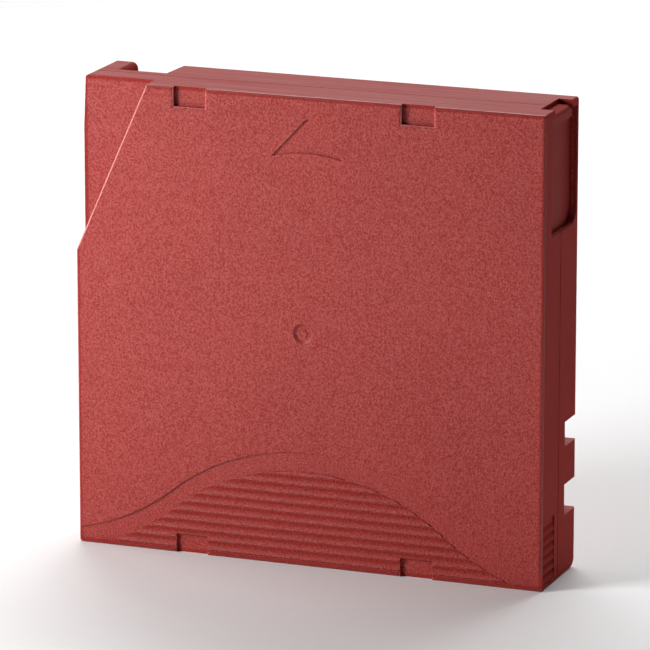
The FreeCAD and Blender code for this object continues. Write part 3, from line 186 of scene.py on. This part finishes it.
class Shader:
    """One material's node tree, and the few ways in which its nodes are added."""

    def __init__(self, name: str) -> None:
        """Starts a material with a Principled surface.

        Args:
            name: The material's name.
        """
        self.material = bpy.data.materials.new(name)
        self.material.use_nodes = True
        self.tree = self.material.node_tree
        self.tree.nodes.clear()
        self.surface = self.node("ShaderNodeBsdfPrincipled")
        self.place = self.node("ShaderNodeTexCoord")
        self.node("ShaderNodeOutputMaterial", values={"Surface": Signal(self, self.surface.outputs["BSDF"])})

    def feed(self, socket: bpy.types.NodeSocket, value: "Value | Colour | Vector") -> None:
        """Links a signal to a socket, or sets the socket's own value.

        Args:
            socket: The input socket.
            value: A signal, a number, a colour or a vector.
        """
        if isinstance(value, Signal):
            self.tree.links.new(value.socket, socket)
        elif isinstance(value, (int, float)):
            socket.default_value = value
        else:
            value = tuple(value)
            socket.default_value = value + (1.0,) * (len(socket.default_value) - len(value))

    def node(self, kind: str, settings: dict | None = None, values: dict | None = None) -> bpy.types.Node:
        """Adds a node.

        Args:
            kind: The node's type name.
            settings: Its properties, which are set first.
            values: Its inputs, by name or number.

        Returns:
            The node.
        """
        node = self.tree.nodes.new(kind)
        for key, value in (settings or {}).items():
            setattr(node, key, value)
        for key, value in (values or {}).items():
            self.feed(node.inputs[key], value)
        return node

    def add(self, kind: str, settings: dict | None = None, values: dict | None = None,
            out: int | str = 0) -> Signal:
        """Adds a node and hands over one of its outputs.

        Args:
            kind: The node's type name.
            settings: Its properties, which are set first.
            values: Its inputs, by name or number.
            out: The output to return.

        Returns:
            The chosen output.
        """
        return Signal(self, self.node(kind, settings, values).outputs[out])

    def object_point(self) -> Signal:
        """The shaded point in the cartridge's own frame, in metres."""
        return Signal(self, self.place.outputs["Object"])

    def facing(self) -> tuple[Signal, Signal, Signal]:
        """The surface's outward direction in the cartridge's own frame."""
        return self.split(Signal(self, self.place.outputs["Normal"]))

    def split(self, vector: Signal) -> tuple[Signal, Signal, Signal]:
        """Splits a vector into its x, y and z."""
        parts = self.node("ShaderNodeSeparateXYZ", values={"Vector": vector}).outputs
        return Signal(self, parts[0]), Signal(self, parts[1]), Signal(self, parts[2])

    def join(self, x: Value, y: Value, z: Value) -> Signal:
        """Makes a vector of three parts."""
        return self.add("ShaderNodeCombineXYZ", values={0: x, 1: y, 2: z})

    def noise(self, per_metre: float, detail: float = 2.0, point: Signal | None = None) -> Signal:
        """Soft random value from 0 to 1.

        Args:
            per_metre: Blotches in a metre.
            detail: Octaves.
            point: Where it is read, or the shaded point.

        Returns:
            The value.
        """
        values = {"Vector": point or self.object_point(), "Scale": per_metre, "Detail": detail}
        return self.add("ShaderNodeTexNoise", {"noise_dimensions": "3D"}, values)

    def cells(self, per_metre: float, softness: float = 0.6) -> Signal:
        """Distance to the nearest of many random points, as in eroded steel.

        Args:
            per_metre: Points in a metre.
            softness: How far neighbouring cells run together.

        Returns:
            The distance, near 0 at each point.
        """
        values = {"Vector": self.object_point(), "Scale": per_metre, "Smoothness": softness}
        return self.add("ShaderNodeTexVoronoi", {"feature": "SMOOTH_F1"}, values, "Distance")

    def blend(self, share: Value, first: "Signal | Colour", second: "Signal | Colour") -> Signal:
        """Mixes two colours.

        Args:
            share: How much of the second.
            first: Colour at share 0.
            second: Colour at share 1.

        Returns:
            The mixed colour.
        """
        return self.add("ShaderNodeMix", {"data_type": "RGBA"}, {"Factor": share, 6: first, 7: second}, 2)

    def relief(self, height: Signal, depth: float, strength: float = 1.0,
               over: Signal | None = None) -> Signal:
        """A bump of a real depth.

        Args:
            height: Height, from 0 to 1.
            depth: Depth in metres at height 1.
            strength: Overall weight.
            over: Another bump's result that this one lies on.

        Returns:
            The bent normal.
        """
        values = {"Height": height, "Distance": depth, "Strength": strength}
        if over:
            values["Normal"] = over
        return self.add("ShaderNodeBump", values=values)

    def finish(self, **sockets: "Value | Colour") -> bpy.types.Material:
        """Feeds the Principled surface and hands the material over.

        Args:
            sockets: Input names, with _ for a space, and their values.

        Returns:
            The material.
        """
        for name, value in sockets.items():
            self.feed(self.surface.inputs[name.replace("_", " ")], value)
        return self.material


def tinted(colour: Colour, factor: float, lift: float = 0.0) -> Colour:
    """Makes a colour darker or paler.

    Args:
        colour: The colour.
        factor: What each part is multiplied by.
        lift: What is then added to each part, which stays at 1 at most.

    Returns:
        The new colour.
    """
    return tuple(min(1.0, part * factor + lift) for part in colour)


def radius_about_middle(x: Signal, z: Signal, low: Vector, high: Vector) -> Signal:
    """Distance from the axis along Y through the middle of a box.

    Args:
        x: Place along X.
        z: Place along Z.
        low: Lowest corner of the box.
        high: Highest corner.

    Returns:
        The distance.
    """
    from_x = x - (low.x + high.x) / 2
    from_z = z - (low.z + high.z) / 2
    return (from_x * from_x + from_z * from_z) ** 0.5


# ---------------------------------------------------------------------------- moulded plastic


class Feel(Enum):
    """How a plain moulding was finished in its tool: how much of the grain shows, and how rough it is."""

    SATIN = (0.10, 0.42)
    POLISHED = (0.03, 0.24)

    @property
    def share(self) -> float:
        """Share of the full grain."""
        return self.value[0]

    @property
    def rough(self) -> float:
        """Roughness."""
        return self.value[1]


@dataclass(frozen=True)
class Grain:
    """Relief and speckle of a moulded surface, at full strength.

    It is made of spark pits, smaller pits between them, a fine speckle and a broad swell. The tones say how
    much each one darkens or pales the colour.
    """

    pits_per_m: float = 2200.0
    small_per_m: float = 3520.0
    speckle_per_m: float = 3200.0
    swell_per_m: float = 38.0
    pit_weight: float = 0.75
    small_weight: float = 0.45
    pit_mean: float = 0.56
    depth: float = 0.22 * MM
    swell_depth: float = 0.10 * MM
    swell_weight: float = 0.25
    pit_tone: float = 0.70
    speckle_tone: float = 0.90
    swell_tone: float = 0.20
    middle_tone: float = 0.45
    darkest_tone: float = 0.15
    palest_tone: float = 0.95
    darker: float = 0.74
    paler: float = 1.20
    lift: float = 0.010
    speckle_rough: float = 0.10
    swell_rough: float = 0.05


class Moulding:
    """What a plastic finish reads at the shaded point of one moulding, and its grain there."""

    def __init__(self, name: str, low: Vector, high: Vector, grain: Grain) -> None:
        """Starts the material and reads the point.

        Args:
            name: The material's name.
            low: Lowest corner of the piece's box.
            high: Highest corner.
            grain: The grain of its tool.
        """
        self.shader = Shader(name)
        self.grain = grain
        self.x, self.y, self.z = self.shader.split(self.shader.object_point())
        self.face_x, self.face_y, self.face_z = self.shader.facing()
        self.from_side = (self.x - low.x).smaller(high.x - self.x)
        self.from_flat = (self.y - low.y).smaller(high.y - self.y)
        self.from_end = (self.z - low.z).smaller(high.z - self.z)
        self.swell = self.shader.noise(grain.swell_per_m, 3.0)
        self.speckle = self.shader.noise(grain.speckle_per_m, 1.0)
        small = self.shader.noise(grain.small_per_m)
        self.pits = self.shader.cells(grain.pits_per_m) * grain.pit_weight + small * grain.small_weight

    def bumps(self, share: Value) -> Signal:
        """Pits, at their share, over the broad swell."""
        pitted = self.shader.relief(self.pits * share, self.grain.depth)
        return self.shader.relief(self.swell, self.grain.swell_depth, self.grain.swell_weight, pitted)

    def mottled(self, base: Colour, share: Value) -> Signal:
        """The base colour, darker and paler with the grain.

        Args:
            base: The plastic's colour.
            share: Share of the grain.

        Returns:
            The colour.
        """
        grain = self.grain
        speckled = (self.speckle - 0.5) * grain.speckle_tone
        pitted = (self.pits - grain.pit_mean) * grain.pit_tone
        tone = self.swell * grain.swell_tone + (speckled + pitted) * share + grain.middle_tone
        tone = tone.between(grain.darkest_tone, grain.palest_tone)
        return self.shader.blend(tone, tinted(base, grain.darker), tinted(base, grain.paler, grain.lift))

    def roughness(self, least: float) -> Signal:
        """Roughness that changes a little with speckle and swell."""
        return self.speckle * self.grain.speckle_rough + self.swell * self.grain.swell_rough + least


def wear_and_highlight_colour(base: Colour) -> Colour:
    """The paler colour of rubbed plastic, also the wear and painted highlight of the pockets' rolled edges.
    """
    return tinted(base, 1.35, 0.06)


@dataclass(frozen=True)
class MouldedPlastic:
    """Plastic out of a satin or polished tool, rubbed paler and smoother at its edges."""

    name: str
    base: Colour
    feel: Feel = Feel.SATIN
    wear: float = 0.35
    sheen: float = 0.5
    gloss: float = 0.0
    gloss_rough: float = 0.4
    edge: tuple[float, float] = (0.15 * MM, 0.9 * MM)
    patches_per_m: float = 260.0
    patches: tuple[float, float] = (0.35, 0.65)
    rubbed_smoother: float = 0.12
    grain: Grain = Grain()

    def rubbed(self, moulding: Moulding) -> Signal:
        """Wear along the edges of the piece's box, in patches.

        The distance from the nearest edge is the sum of the distances from the two nearest sides.

        Args:
            moulding: The shaded point.

        Returns:
            The share of wear.
        """
        side, flat, end = moulding.from_side, moulding.from_flat, moulding.from_end
        two_nearest = side + flat + end - side.larger(flat).larger(end)
        patches = moulding.shader.noise(self.patches_per_m, 3.0).between(*self.patches)
        return two_nearest.falls(*self.edge) * patches * self.wear

    def material(self, low: Vector, high: Vector) -> bpy.types.Material:
        """Builds the finish.

        Args:
            low: Lowest corner of the piece's box.
            high: Highest corner.

        Returns:
            The material.
        """
        moulding = Moulding(self.name, low, high, self.grain)
        shader = moulding.shader
        rubbed = self.rubbed(moulding)
        colour = shader.blend(rubbed, moulding.mottled(self.base, self.feel.share), wear_and_highlight_colour(self.base))
        roughness = moulding.roughness(self.feel.rough) - rubbed * self.rubbed_smoother
        return shader.finish(Base_Color=colour, Roughness=roughness, Normal=moulding.bumps(self.feel.share),
                             Coat_Weight=self.gloss, Coat_Roughness=self.gloss_rough,
                             Specular_IOR_Level=self.sheen)


@dataclass(frozen=True)
class Pockets:
    """Gripper pockets in a face's ends, with rolled edges painted paler as wear and as painted highlight."""

    middle_x: float = -0.9 * MM
    apart: float = 51.1 * MM
    wide: float = 7.2 * MM
    long: float = 4.2 * MM
    roll: float = 0.55 * MM
    depth: float = 0.36 * MM
    # How much paler the rolled edges are painted, as wear and as painted highlight.
    paler: float = 0.9

    def rolled(self, x: Signal, from_end: Signal) -> Signal:
        """Says where the face rolls over, from 1 at a pocket to 0 where the face is flat.

        Args:
            x: Place along the end edges.
            from_end: Distance from the nearer end edge.

        Returns:
            The share of the roll.
        """
        across = abs(abs(x - self.middle_x) - self.apart / 2) - self.wide / 2
        return across.larger(from_end - self.long).falls(0.0, self.roll)


@dataclass(frozen=True)
class GrainedPlastic:
    """Plastic out of a spark-eroded tool: the case's shells.

    The grain is full on the large faces and faint on the narrow walls, as a tool is eroded. Along the rims
    the face is painted darker as painted shade of the rounded edges, and the sloping faces of the ribs are
    painted darker as painted shade; the rounded edge along the stepped corner is painted paler as a painted
    highlight.
    The end walls come out glossiest and show the fine lines of its milling, and the side walls stay dull.
    Fields that end in _turn are ranges of one part of the outward direction.
    """

    name: str
    base: Colour
    rough: float = 0.46
    wall_share: float = 0.30
    face_turn: tuple[float, float] = (0.75, 0.98)
    end_turn: tuple[float, float] = (0.90, 0.99)
    slope_turn: tuple[float, float, float, float] = (0.10, 0.30, 0.93, 0.97)
    face_gloss: float = 0.6
    glints: tuple[float, float, float, float] = (0.30, 0.70, 0.30, 1.80)
    end_gloss: float = 0.50
    side_gloss: float = 0.08
    gloss_rough: float = 0.42
    milling_per_m: tuple[float, float, float] = (30.0, 1300.0, 30.0)
    milling: tuple[float, float] = (0.3, 0.7)
    milling_rough: float = 0.3
    milling_gloss: tuple[float, float] = (0.65, 0.7)
    # The face is painted darker along its rims, as painted shade of the rounded edges.
    painted_shade_rim: tuple[float, float] = (0.65 * MM, 0.95 * MM)
    rim_painted_shade: float = 0.35
    # The ribs' sloping faces are painted darker, as painted shade.
    rib_depths: tuple[float, float, float, float] = (0.05 * MM, 0.36 * MM, 0.42 * MM, 0.48 * MM)
    rib_turn: tuple[float, float, float, float] = (0.90, 0.95, 0.98, 0.99)
    rib_painted_shade: float = 0.6
    # The rounded edge along the stepped corner is painted paler, as a painted highlight.
    step_reach: tuple[float, float] = (0.66, 0.64)
    step_turn: tuple[float, float] = (0.02, 0.08)
    step_painted_highlight: float = 0.5
    skin: tuple[float, float] = (0.02 * MM, 0.05 * MM)
    pockets: Pockets = Pockets()
    grain: Grain = Grain()

    def rib_slopes_painted_shade(self, moulding: Moulding, low: Vector) -> Signal:
        """The sloping faces of the saw-shaped ribs, on the marked face and on both sides.

        They are told by how deep they lie and by how far they turn from the flat. They are painted darker, as
        painted shade, and lose their gloss.

        Args:
            moulding: The shaded point.
            low: Lowest corner of the piece's box.

        Returns:
            The share.
        """
        on_face = (moulding.y - low.y).band(*self.rib_depths) * abs(moulding.face_y).band(*self.rib_turn)
        on_side = moulding.from_side.band(*self.rib_depths) * abs(moulding.face_x).band(*self.rib_turn)
        return on_face + on_side

    def by_pockets(self, moulding: Moulding, low: Vector) -> Signal:
        """The rolled edges of the pockets, on the outside of the marked face alone.

        Args:
            moulding: The shaded point.
            low: Lowest corner of the piece's box.

        Returns:
            The share of the roll.
        """
        some, full = self.face_turn
        outside = moulding.face_y.falls(-full, -some) * (moulding.y - low.y).falls(*self.skin)
        return self.pockets.rolled(moulding.x, moulding.from_end) * outside

    def painted_highlight_on_step(self, moulding: Moulding, turned: Signal, low: Vector) -> Signal:
        """The rounded edge along the stepped corner, which leans both ways near the low end of X.

        Args:
            moulding: The shaded point.
            turned: Share of surfaces that are neither flat nor upright.
            low: Lowest corner of the piece's box.

        Returns:
            The share of the painted highlight.
        """
        both_ways = (abs(moulding.face_x) * abs(moulding.face_z)).between(*self.step_turn)
        return both_ways * turned * moulding.x.falls(*(low.x * part for part in self.step_reach))

    def material(self, low: Vector, high: Vector) -> bpy.types.Material:
        """Builds the finish.

        Args:
            low: Lowest corner of the piece's box.
            high: Highest corner.

        Returns:
            The material.
        """
        moulding = Moulding(self.name, low, high, self.grain)
        shader = moulding.shader
        upright = abs(moulding.face_y)
        on_face = upright.between(*self.face_turn)
        on_end = abs(moulding.face_z).between(*self.end_turn)
        turned = upright.band(*self.slope_turn)
        share = on_face * (1.0 - self.wall_share) + self.wall_share
        painted_shade_rim = moulding.from_side.smaller(moulding.from_end).falls(*self.painted_shade_rim) * on_face
        ribs = self.rib_slopes_painted_shade(moulding, low)
        rolled = self.by_pockets(moulding, low)
        scale_x, scale_y, scale_z = self.milling_per_m
        stretched = shader.join(moulding.x * scale_x, moulding.y * scale_y, moulding.z * scale_z)
        lines = shader.noise(1.0, 2.0, stretched).between(*self.milling)

        colour = moulding.mottled(self.base, share)
        # Painted shade: darker along the face's rims and on the ribs' sloping faces.
        colour = shader.blend(painted_shade_rim * self.rim_painted_shade + ribs * self.rib_painted_shade, colour, tinted(self.base, 0.62))
        # Painted highlight: paler on the rounded edge along the stepped corner.
        painted_step_highlight = self.painted_highlight_on_step(moulding, turned, low) * self.step_painted_highlight
        colour = shader.blend(painted_step_highlight, colour, tinted(self.base, 1.45, 0.20))
        # The pockets' rolled edges are painted paler: wear, and a painted highlight of the rolled edges.
        colour = shader.blend(rolled * self.pockets.paler, colour, wear_and_highlight_colour(self.base))
        roughness = moulding.roughness(self.rough) + on_end * (lines - 0.5) * self.milling_rough
        bumped = shader.relief(1.0 - rolled, self.pockets.depth, 1.0, moulding.bumps(share))

        least_gloss, line_gloss = self.milling_gloss
        face = on_face * moulding.speckle.between(*self.glints) * (1.0 - painted_shade_rim) * self.face_gloss
        end = on_end * (lines * line_gloss + least_gloss) * self.end_gloss
        gloss = (face + end + turned + self.side_gloss) * (1.0 - ribs)
        return shader.finish(Base_Color=colour, Roughness=roughness, Normal=bumped, Coat_Weight=gloss,
                             Coat_Roughness=self.gloss_rough, Specular_IOR_Level=0.0)


# ---------------------------------------------------------------------------- metal, film and board


@dataclass(frozen=True)
class TurnedSteel:
    """Steel with fine rings round an axis along Y, as turning or a polishing wheel leaves them."""

    name: str
    base: Colour = (0.58, 0.58, 0.57)
    rings_per_m: float = 6000.0
    rough: float = 0.30
    blotches_per_m: float = 220.0
    ring_depth: float = 0.006 * MM

    def material(self, low: Vector, high: Vector) -> bpy.types.Material:
        """Builds the finish, with its rings round the middle of the box.

        Args:
            low: Lowest corner of the piece's box.
            high: Highest corner.

        Returns:
            The material.
        """
        shader = Shader(self.name)
        x, y, z = shader.split(shader.object_point())
        radius = radius_about_middle(x, z, low, high)
        rings = shader.noise(self.rings_per_m, 2.0, shader.join(radius, y, 0.0))
        blotch = shader.noise(self.blotches_per_m, 3.0)
        colour = shader.blend(rings * 0.6 + blotch * 0.4, tinted(self.base, 0.72), self.base)
        roughness = rings * 0.16 + blotch * 0.12 + (self.rough - 0.12)
        bumped = shader.relief(rings, self.ring_depth)
        return shader.finish(Base_Color=colour, Metallic=1.0, Roughness=roughness, Normal=bumped)


@dataclass(frozen=True)
class DrawnSteel:
    """Drawn wire, rolled strip or a plated screw."""

    name: str
    base: Colour = (0.50, 0.50, 0.51)
    rough: float = 0.28
    stain: Colour = (0.30, 0.27, 0.23)
    scratches_across: float = 5200.0
    scratches_along: float = 900.0
    stains_per_m: float = 400.0
    scratch_depth: float = 0.004 * MM

    def material(self, low: Vector, high: Vector) -> bpy.types.Material:
        """Builds the finish: long fine scratches, and a faint stain where it was handled.

        Args:
            low: Lowest corner of the piece's box.
            high: Highest corner.

        Returns:
            The material.
        """
        shader = Shader(self.name)
        x, y, z = shader.split(shader.object_point())
        across, along = self.scratches_across, self.scratches_along
        scratches = shader.noise(1.0, 3.0, shader.join(x * across, y * along, z * across))
        blotch = shader.noise(self.stains_per_m, 3.0).between(0.52, 0.72)
        colour = shader.blend(scratches, tinted(self.base, 0.8), self.base)
        colour = shader.blend(blotch * 0.35, colour, self.stain)
        roughness = scratches * 0.14 + blotch * 0.15 + (self.rough - 0.07)
        bumped = shader.relief(scratches, self.scratch_depth)
        return shader.finish(Base_Color=colour, Metallic=1.0, Roughness=roughness, Normal=bumped)


@dataclass(frozen=True)
class WoundFilm:
    """Coated film, wound: its layers show as fine rings on the edges of the pack."""

    name: str
    base: Colour = (0.030, 0.022, 0.018)
    layers_per_m: float = 9000.0
    layer_depth: float = 0.02 * MM

    def material(self, low: Vector, high: Vector) -> bpy.types.Material:
        """Builds the finish.

        Args:
            low: Lowest corner of the pack's box.
            high: Highest corner.

        Returns:
            The material.
        """
        shader = Shader(self.name)
        x, _, z = shader.split(shader.object_point())
        _, face_y, _ = shader.facing()
        radius = radius_about_middle(x, z, low, high)
        layers = shader.noise(self.layers_per_m, 3.0, shader.join(radius, 0.0, 0.0))
        on_edge = abs(face_y).between(0.8, 0.98)
        colour = shader.blend(layers * on_edge, self.base, tinted(self.base, 2.4))
        roughness = on_edge * 0.22 + layers * 0.08 + 0.16
        bumped = shader.relief(layers * on_edge, self.layer_depth)
        return shader.finish(Base_Color=colour, Roughness=roughness, Normal=bumped)


@dataclass(frozen=True)
class AntennaBoard:
    """Green laminate with a rounded copper coil under its lacquer."""

    name: str
    green: Colour = (0.012, 0.085, 0.035)
    copper: Colour = (0.10, 0.23, 0.07)
    turns: int = 4
    corner: float = 6.0
    weave_per_m: float = 1600.0
    track_depth: float = 0.03 * MM

    def material(self, low: Vector, high: Vector) -> bpy.types.Material:
        """Builds the finish.

        The board lies at 45 degrees, so one direction of its coil is x and the other is the sum of y and z.
        Each distance from the middle is taken over its half size. The coil's tracks are rings of the root of
        the sum of their high powers, which is a rounded square.

        Args:
            low: Lowest corner of the board's box.
            high: Highest corner.

        Returns:
            The material.
        """
        shader = Shader(self.name)
        x, y, z = shader.split(shader.object_point())
        middle = (low + high) / 2
        across = abs(x - middle.x) / ((high.x - low.x) / 2)
        along = abs((y - middle.y) + (z - middle.z)) / (high.y - low.y)
        out = (across ** self.corner + along ** self.corner) ** (1.0 / self.corner)
        wave = (out * (self.turns * 2.0)).fraction()
        track = abs(wave - 0.5).falls(0.20, 0.26) * out.band(0.50, 0.52, 0.94, 0.96)
        weave = shader.noise(self.weave_per_m)
        colour = shader.blend(weave * 0.3, self.green, tinted(self.green, 1.8))
        colour = shader.blend(track, colour, self.copper)
        bumped = shader.relief(track, self.track_depth)
        return shader.finish(Base_Color=colour, Roughness=weave * 0.1 + 0.25, Normal=bumped)


# ---------------------------------------------------------------------------- sub-assemblies


class Finish(Protocol):
    """Anything that makes a node's material from the node's box."""

    def material(self, low: Vector, high: Vector) -> bpy.types.Material:
        """Builds the material."""


REEL_GREY: Colour = (0.40, 0.41, 0.41)
LINEN: Colour = (0.66, 0.64, 0.58)
SOOT: Colour = (0.02, 0.02, 0.022)


@dataclass(frozen=True)
class Assembly:
    """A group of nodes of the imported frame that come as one."""

    title: str = "assembly"

    def finishes(self) -> dict[str, Finish]:
        """The finish of each node."""
        return {}

    def dress(self, nodes: dict[str, bpy.types.Object]) -> None:
        """Puts each finish in its node's material slot.

        Args:
            nodes: The frame's objects by node name.
        """
        for node, finish in self.finishes().items():
            low, high = (Vector(corner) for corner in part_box(node))
            material = finish.material(low, high)
            nodes[node].data.materials.clear()
            nodes[node].data.materials.append(material)
            LOG.info("%s: %s takes %s", self.title, node, material.name)


@dataclass(frozen=True)
class Case(Assembly):
    """The two shells and their screws."""

    title: str = "case"
    red: Colour = (0.360, 0.036, 0.029)
    plating: Colour = (0.36, 0.36, 0.37)

    def finishes(self) -> dict[str, Finish]:
        """One grained red for both shells, and plated screws."""
        return {
            "upper_shell": GrainedPlastic("grained_case_red_upper", self.red),
            "lower_shell": GrainedPlastic("grained_case_red_lower", self.red),
            "case_screws": DrawnSteel("plated_screw", self.plating, 0.34),
        }


@dataclass(frozen=True)
class Openings(Assembly):
    """The door, the write-protect slider and the memory."""

    title: str = "openings"
    door_red: Colour = (0.340, 0.033, 0.027)
    slider_grey: Colour = (0.32, 0.33, 0.33)

    def finishes(self) -> dict[str, Finish]:
        """A smoother red for the door, a grey slider, and the memory's board and chip."""
        return {
            "tape_door": MouldedPlastic("satin_door_red", self.door_red, wear=0.1, sheen=0.0, gloss=0.15),
            "door_spring": DrawnSteel("door_spring_wire"),
            "write_protect_tab": MouldedPlastic("satin_slider_grey", self.slider_grey, wear=0.5),
            "memory_board": AntennaBoard("antenna_board"),
            "memory_chip": MouldedPlastic("potted_chip", SOOT, Feel.POLISHED, wear=0.0),
        }


@dataclass(frozen=True)
class Reel(Assembly):
    """The reel, its tape and the leader pin."""

    title: str = "reel"
    pin_steel: Colour = (0.62, 0.62, 0.63)
    leaf_steel: Colour = (0.54, 0.54, 0.53)

    def finishes(self) -> dict[str, Finish]:
        """Grey reel, steel plate, dark tape and bright pin."""
        return {
            "reel_hub": MouldedPlastic("satin_reel_grey_hub", REEL_GREY, wear=0.2),
            "reel_upper_flange": MouldedPlastic("satin_reel_grey_flange", REEL_GREY, wear=0.2),
            "reel_drive_plate": TurnedSteel("pressed_drive_plate"),
            "tape_pack": WoundFilm("wound_tape"),
            "tape_free_end": WoundFilm("tape_free_end"),
            "leader_pin": TurnedSteel("turned_leader_pin", self.pin_steel, 9000.0, 0.22),
            "leader_pin_clamp": MouldedPlastic("clamp_black", SOOT, wear=0.0),
            "leader_pin_spring": DrawnSteel("leaf_spring_strip", self.leaf_steel, 0.24),
        }


@dataclass(frozen=True)
class Brake(Assembly):
    """The reel brake and what releases it."""

    title: str = "brake"

    def finishes(self) -> dict[str, Finish]:
        """Linen-coloured mouldings and a wire spring."""
        return {
            "brake_button": MouldedPlastic("satin_brake_linen", LINEN, wear=0.2),
            "brake_spring": DrawnSteel("brake_spring_wire"),
            "release_spider": MouldedPlastic("polished_spider_linen", LINEN, Feel.POLISHED, wear=0.2),
        }


@dataclass(frozen=True)
class CoilSpring:
    """A coil spring of the record, with its joint, its axis, its fixed end and its joint's travel."""

    node: str
    joint: str
    axis: int
    fixed_end: float
    travel: float

    def shorten(self, piece: bpy.types.Object) -> None:
        """Gives the spring a mesh of its own; nothing ties its length to the joint.

        Args:
            piece: The spring.
        """
        low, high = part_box(self.node)
        length = high[self.axis] - low[self.axis]
        1.0 - self.travel / length
        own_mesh(piece)
        LOG.info("spring: %s shortens with %s", self.node, self.joint)


def coil_springs(record: dict) -> list[CoilSpring]:
    """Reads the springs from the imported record.

    Args:
        record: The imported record.

    Returns:
        One spring for each node whose length follows a joint.
    """
    springs = []
    for joint in record["behaviour"]["joints"]:
        for entry in joint.get("deforming_nodes", []):
            letter = entry["mode"][-1]
            travel = max(abs(limit) for limit in joint["range_m"])
            fixed_end = entry[f"fixed_end_{letter}_m"]
            springs.append(CoilSpring(entry["node"], joint["name"], "xyz".index(letter), fixed_end, travel))
    return springs


# ---------------------------------------------------------------------------- studio


@dataclass(frozen=True)
class Lamp:
    """A soft rectangular light, aimed at the cartridge or at a place of its own."""

    name: str
    place: Colour
    size: tuple[float, float]
    watts: float
    aim: Colour | None = None
    spread: float = 180.0

    def add(self, cartridge: Vector) -> None:
        """Hangs the light.

        Args:
            cartridge: Middle of the cartridge.
        """
        data = bpy.data.lights.new(self.name, "AREA")
        data.shape = "RECTANGLE"
        data.size, data.size_y = self.size
        data.energy = self.watts
        data.spread = math.radians(self.spread)
        lamp = bpy.data.objects.new(self.name, data)
        target = Vector(self.aim) if self.aim else cartridge
        lamp.location = self.place
        lamp.rotation_euler = (target - Vector(self.place)).to_track_quat("-Z", "Y").to_euler()
        bpy.context.collection.objects.link(lamp)


@dataclass(frozen=True)
class Studio:
    """Seamless pale floor, soft lights and the camera.

    A small key stands near the upper left, a broad light hangs behind, a strip stands at the left, and two
    washes light the floor and the wall.
    """

    azimuth: float = 21.0
    elevation: float = 14.3
    distance: float = 1.15
    lens: float = 300.0
    nearest: float = 0.05
    aim_lift: float = -0.0005
    floor_half_width: float = 3.0
    floor_front: float = -2.0
    floor_back: float = 1.6
    sweep_radius: float = 0.7
    sweep_steps: int = 25
    floor_columns: int = 9
    wall_height: float = 2.6
    floor_white: tuple[Colour, Colour] = ((0.90, 0.90, 0.90), (0.93, 0.93, 0.93))
    floor_rough: float = 0.85
    lamps: tuple[Lamp, ...] = (
        Lamp("key", (-0.29, -0.27, 0.19), (0.16, 0.16), 1.8),
        Lamp("back", (-0.1, 0.55, 0.70), (0.8, 0.4), 5.5),
        Lamp("left_strip", (-0.60, 0.14, 0.08), (0.25, 0.40), 1.7),
        Lamp("far_wash", (0.0, 1.0, 0.8), (1.6, 0.8), 6.0, aim=(0.0, 0.9, 0.0)),
        Lamp("near_wash", (0.0, -1.5, 1.2), (2.4, 0.8), 6.0, aim=(0.0, -1.5, 0.0), spread=100.0),
    )

    def floor(self) -> None:
        """Makes the floor.

        Its profile in Y and Z is level, then a quarter circle, then upright, and it is carried along X.
        """
        turn = np.linspace(0.0, np.pi / 2, self.sweep_steps)
        sweep_y = self.floor_back + self.sweep_radius * np.sin(turn)
        sweep_z = self.sweep_radius * (1.0 - np.cos(turn))
        profile_y = np.concatenate([[self.floor_front], sweep_y, [self.floor_back + self.sweep_radius]])
        profile_z = np.concatenate([[0.0], sweep_z, [self.wall_height]])
        across = np.linspace(-self.floor_half_width, self.floor_half_width, self.floor_columns)
        grid_x, grid_y = np.meshgrid(across, profile_y)
        _, grid_z = np.meshgrid(across, profile_z)
        rows, columns = grid_x.shape
        points = np.stack([grid_x, grid_y, grid_z], axis=-1).reshape(-1, 3)
        first = (np.arange(rows - 1)[:, None] * columns + np.arange(columns - 1)[None, :]).reshape(-1)
        faces = np.stack([first, first + 1, first + columns + 1, first + columns], axis=1)
        mesh = bpy.data.meshes.new("studio_floor")
        mesh.from_pydata(points.tolist(), [], faces.tolist())
        mesh.polygons.foreach_set("use_smooth", np.ones(len(mesh.polygons), dtype=bool))
        piece = bpy.data.objects.new("studio_floor", mesh)
        bpy.context.collection.objects.link(piece)
        shader = Shader("pale_studio_floor")
        tone = shader.blend(shader.noise(3.0), *self.floor_white)
        piece.data.materials.append(shader.finish(Base_Color=tone, Roughness=self.floor_rough))
        piece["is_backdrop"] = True

    def dark_room(self) -> None:
        """Sets a world that gives no light of its own."""
        world = bpy.data.worlds.new("studio_world")
        world.use_nodes = True
        world.node_tree.nodes["Background"].inputs["Strength"].default_value = 0.0
        bpy.context.scene.world = world

    def camera(self, cartridge: Vector) -> None:
        """Sets the camera at the given turn and height, with a long lens.

        Args:
            cartridge: Middle of the cartridge.
        """
        turn, lift = math.radians(self.azimuth), math.radians(self.elevation)
        back = Vector((math.sin(turn) * math.cos(lift), -math.cos(turn) * math.cos(lift), math.sin(lift)))
        data = bpy.data.cameras.new("camera")
        data.lens = self.lens
        data.clip_start = self.nearest
        eye = bpy.data.objects.new("camera", data)
        eye.location = cartridge + Vector((0.0, 0.0, self.aim_lift)) + back * self.distance
        eye.rotation_euler = (-back).to_track_quat("-Z", "Y").to_euler()
        bpy.context.collection.objects.link(eye)
        bpy.context.scene.camera = eye

    def build(self) -> None:
        """Makes the whole studio round the object's box."""
        low, high = (Vector(corner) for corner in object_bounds())
        middle = (low + high) / 2
        self.floor()
        for lamp in self.lamps:
            lamp.add(middle)
        self.dark_room()
        self.camera(middle)
        bpy.context.scene.view_settings.view_transform = "Standard"
        LOG.info("studio: floor, %d lights and camera", len(self.lamps))


def main() -> None:
    """Builds the scene round the frame."""
    logging.basicConfig(level=logging.INFO, format="%(name)s: %(message)s")
    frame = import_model()
    for assembly in (Case(), Openings(), Reel(), Brake()):
        assembly.dress(frame["nodes"])
    for spring in coil_springs(frame["record"]):
        spring.shorten(frame["nodes"][spring.node])
    Studio().build()


if __name__ == "__main__":
    main()
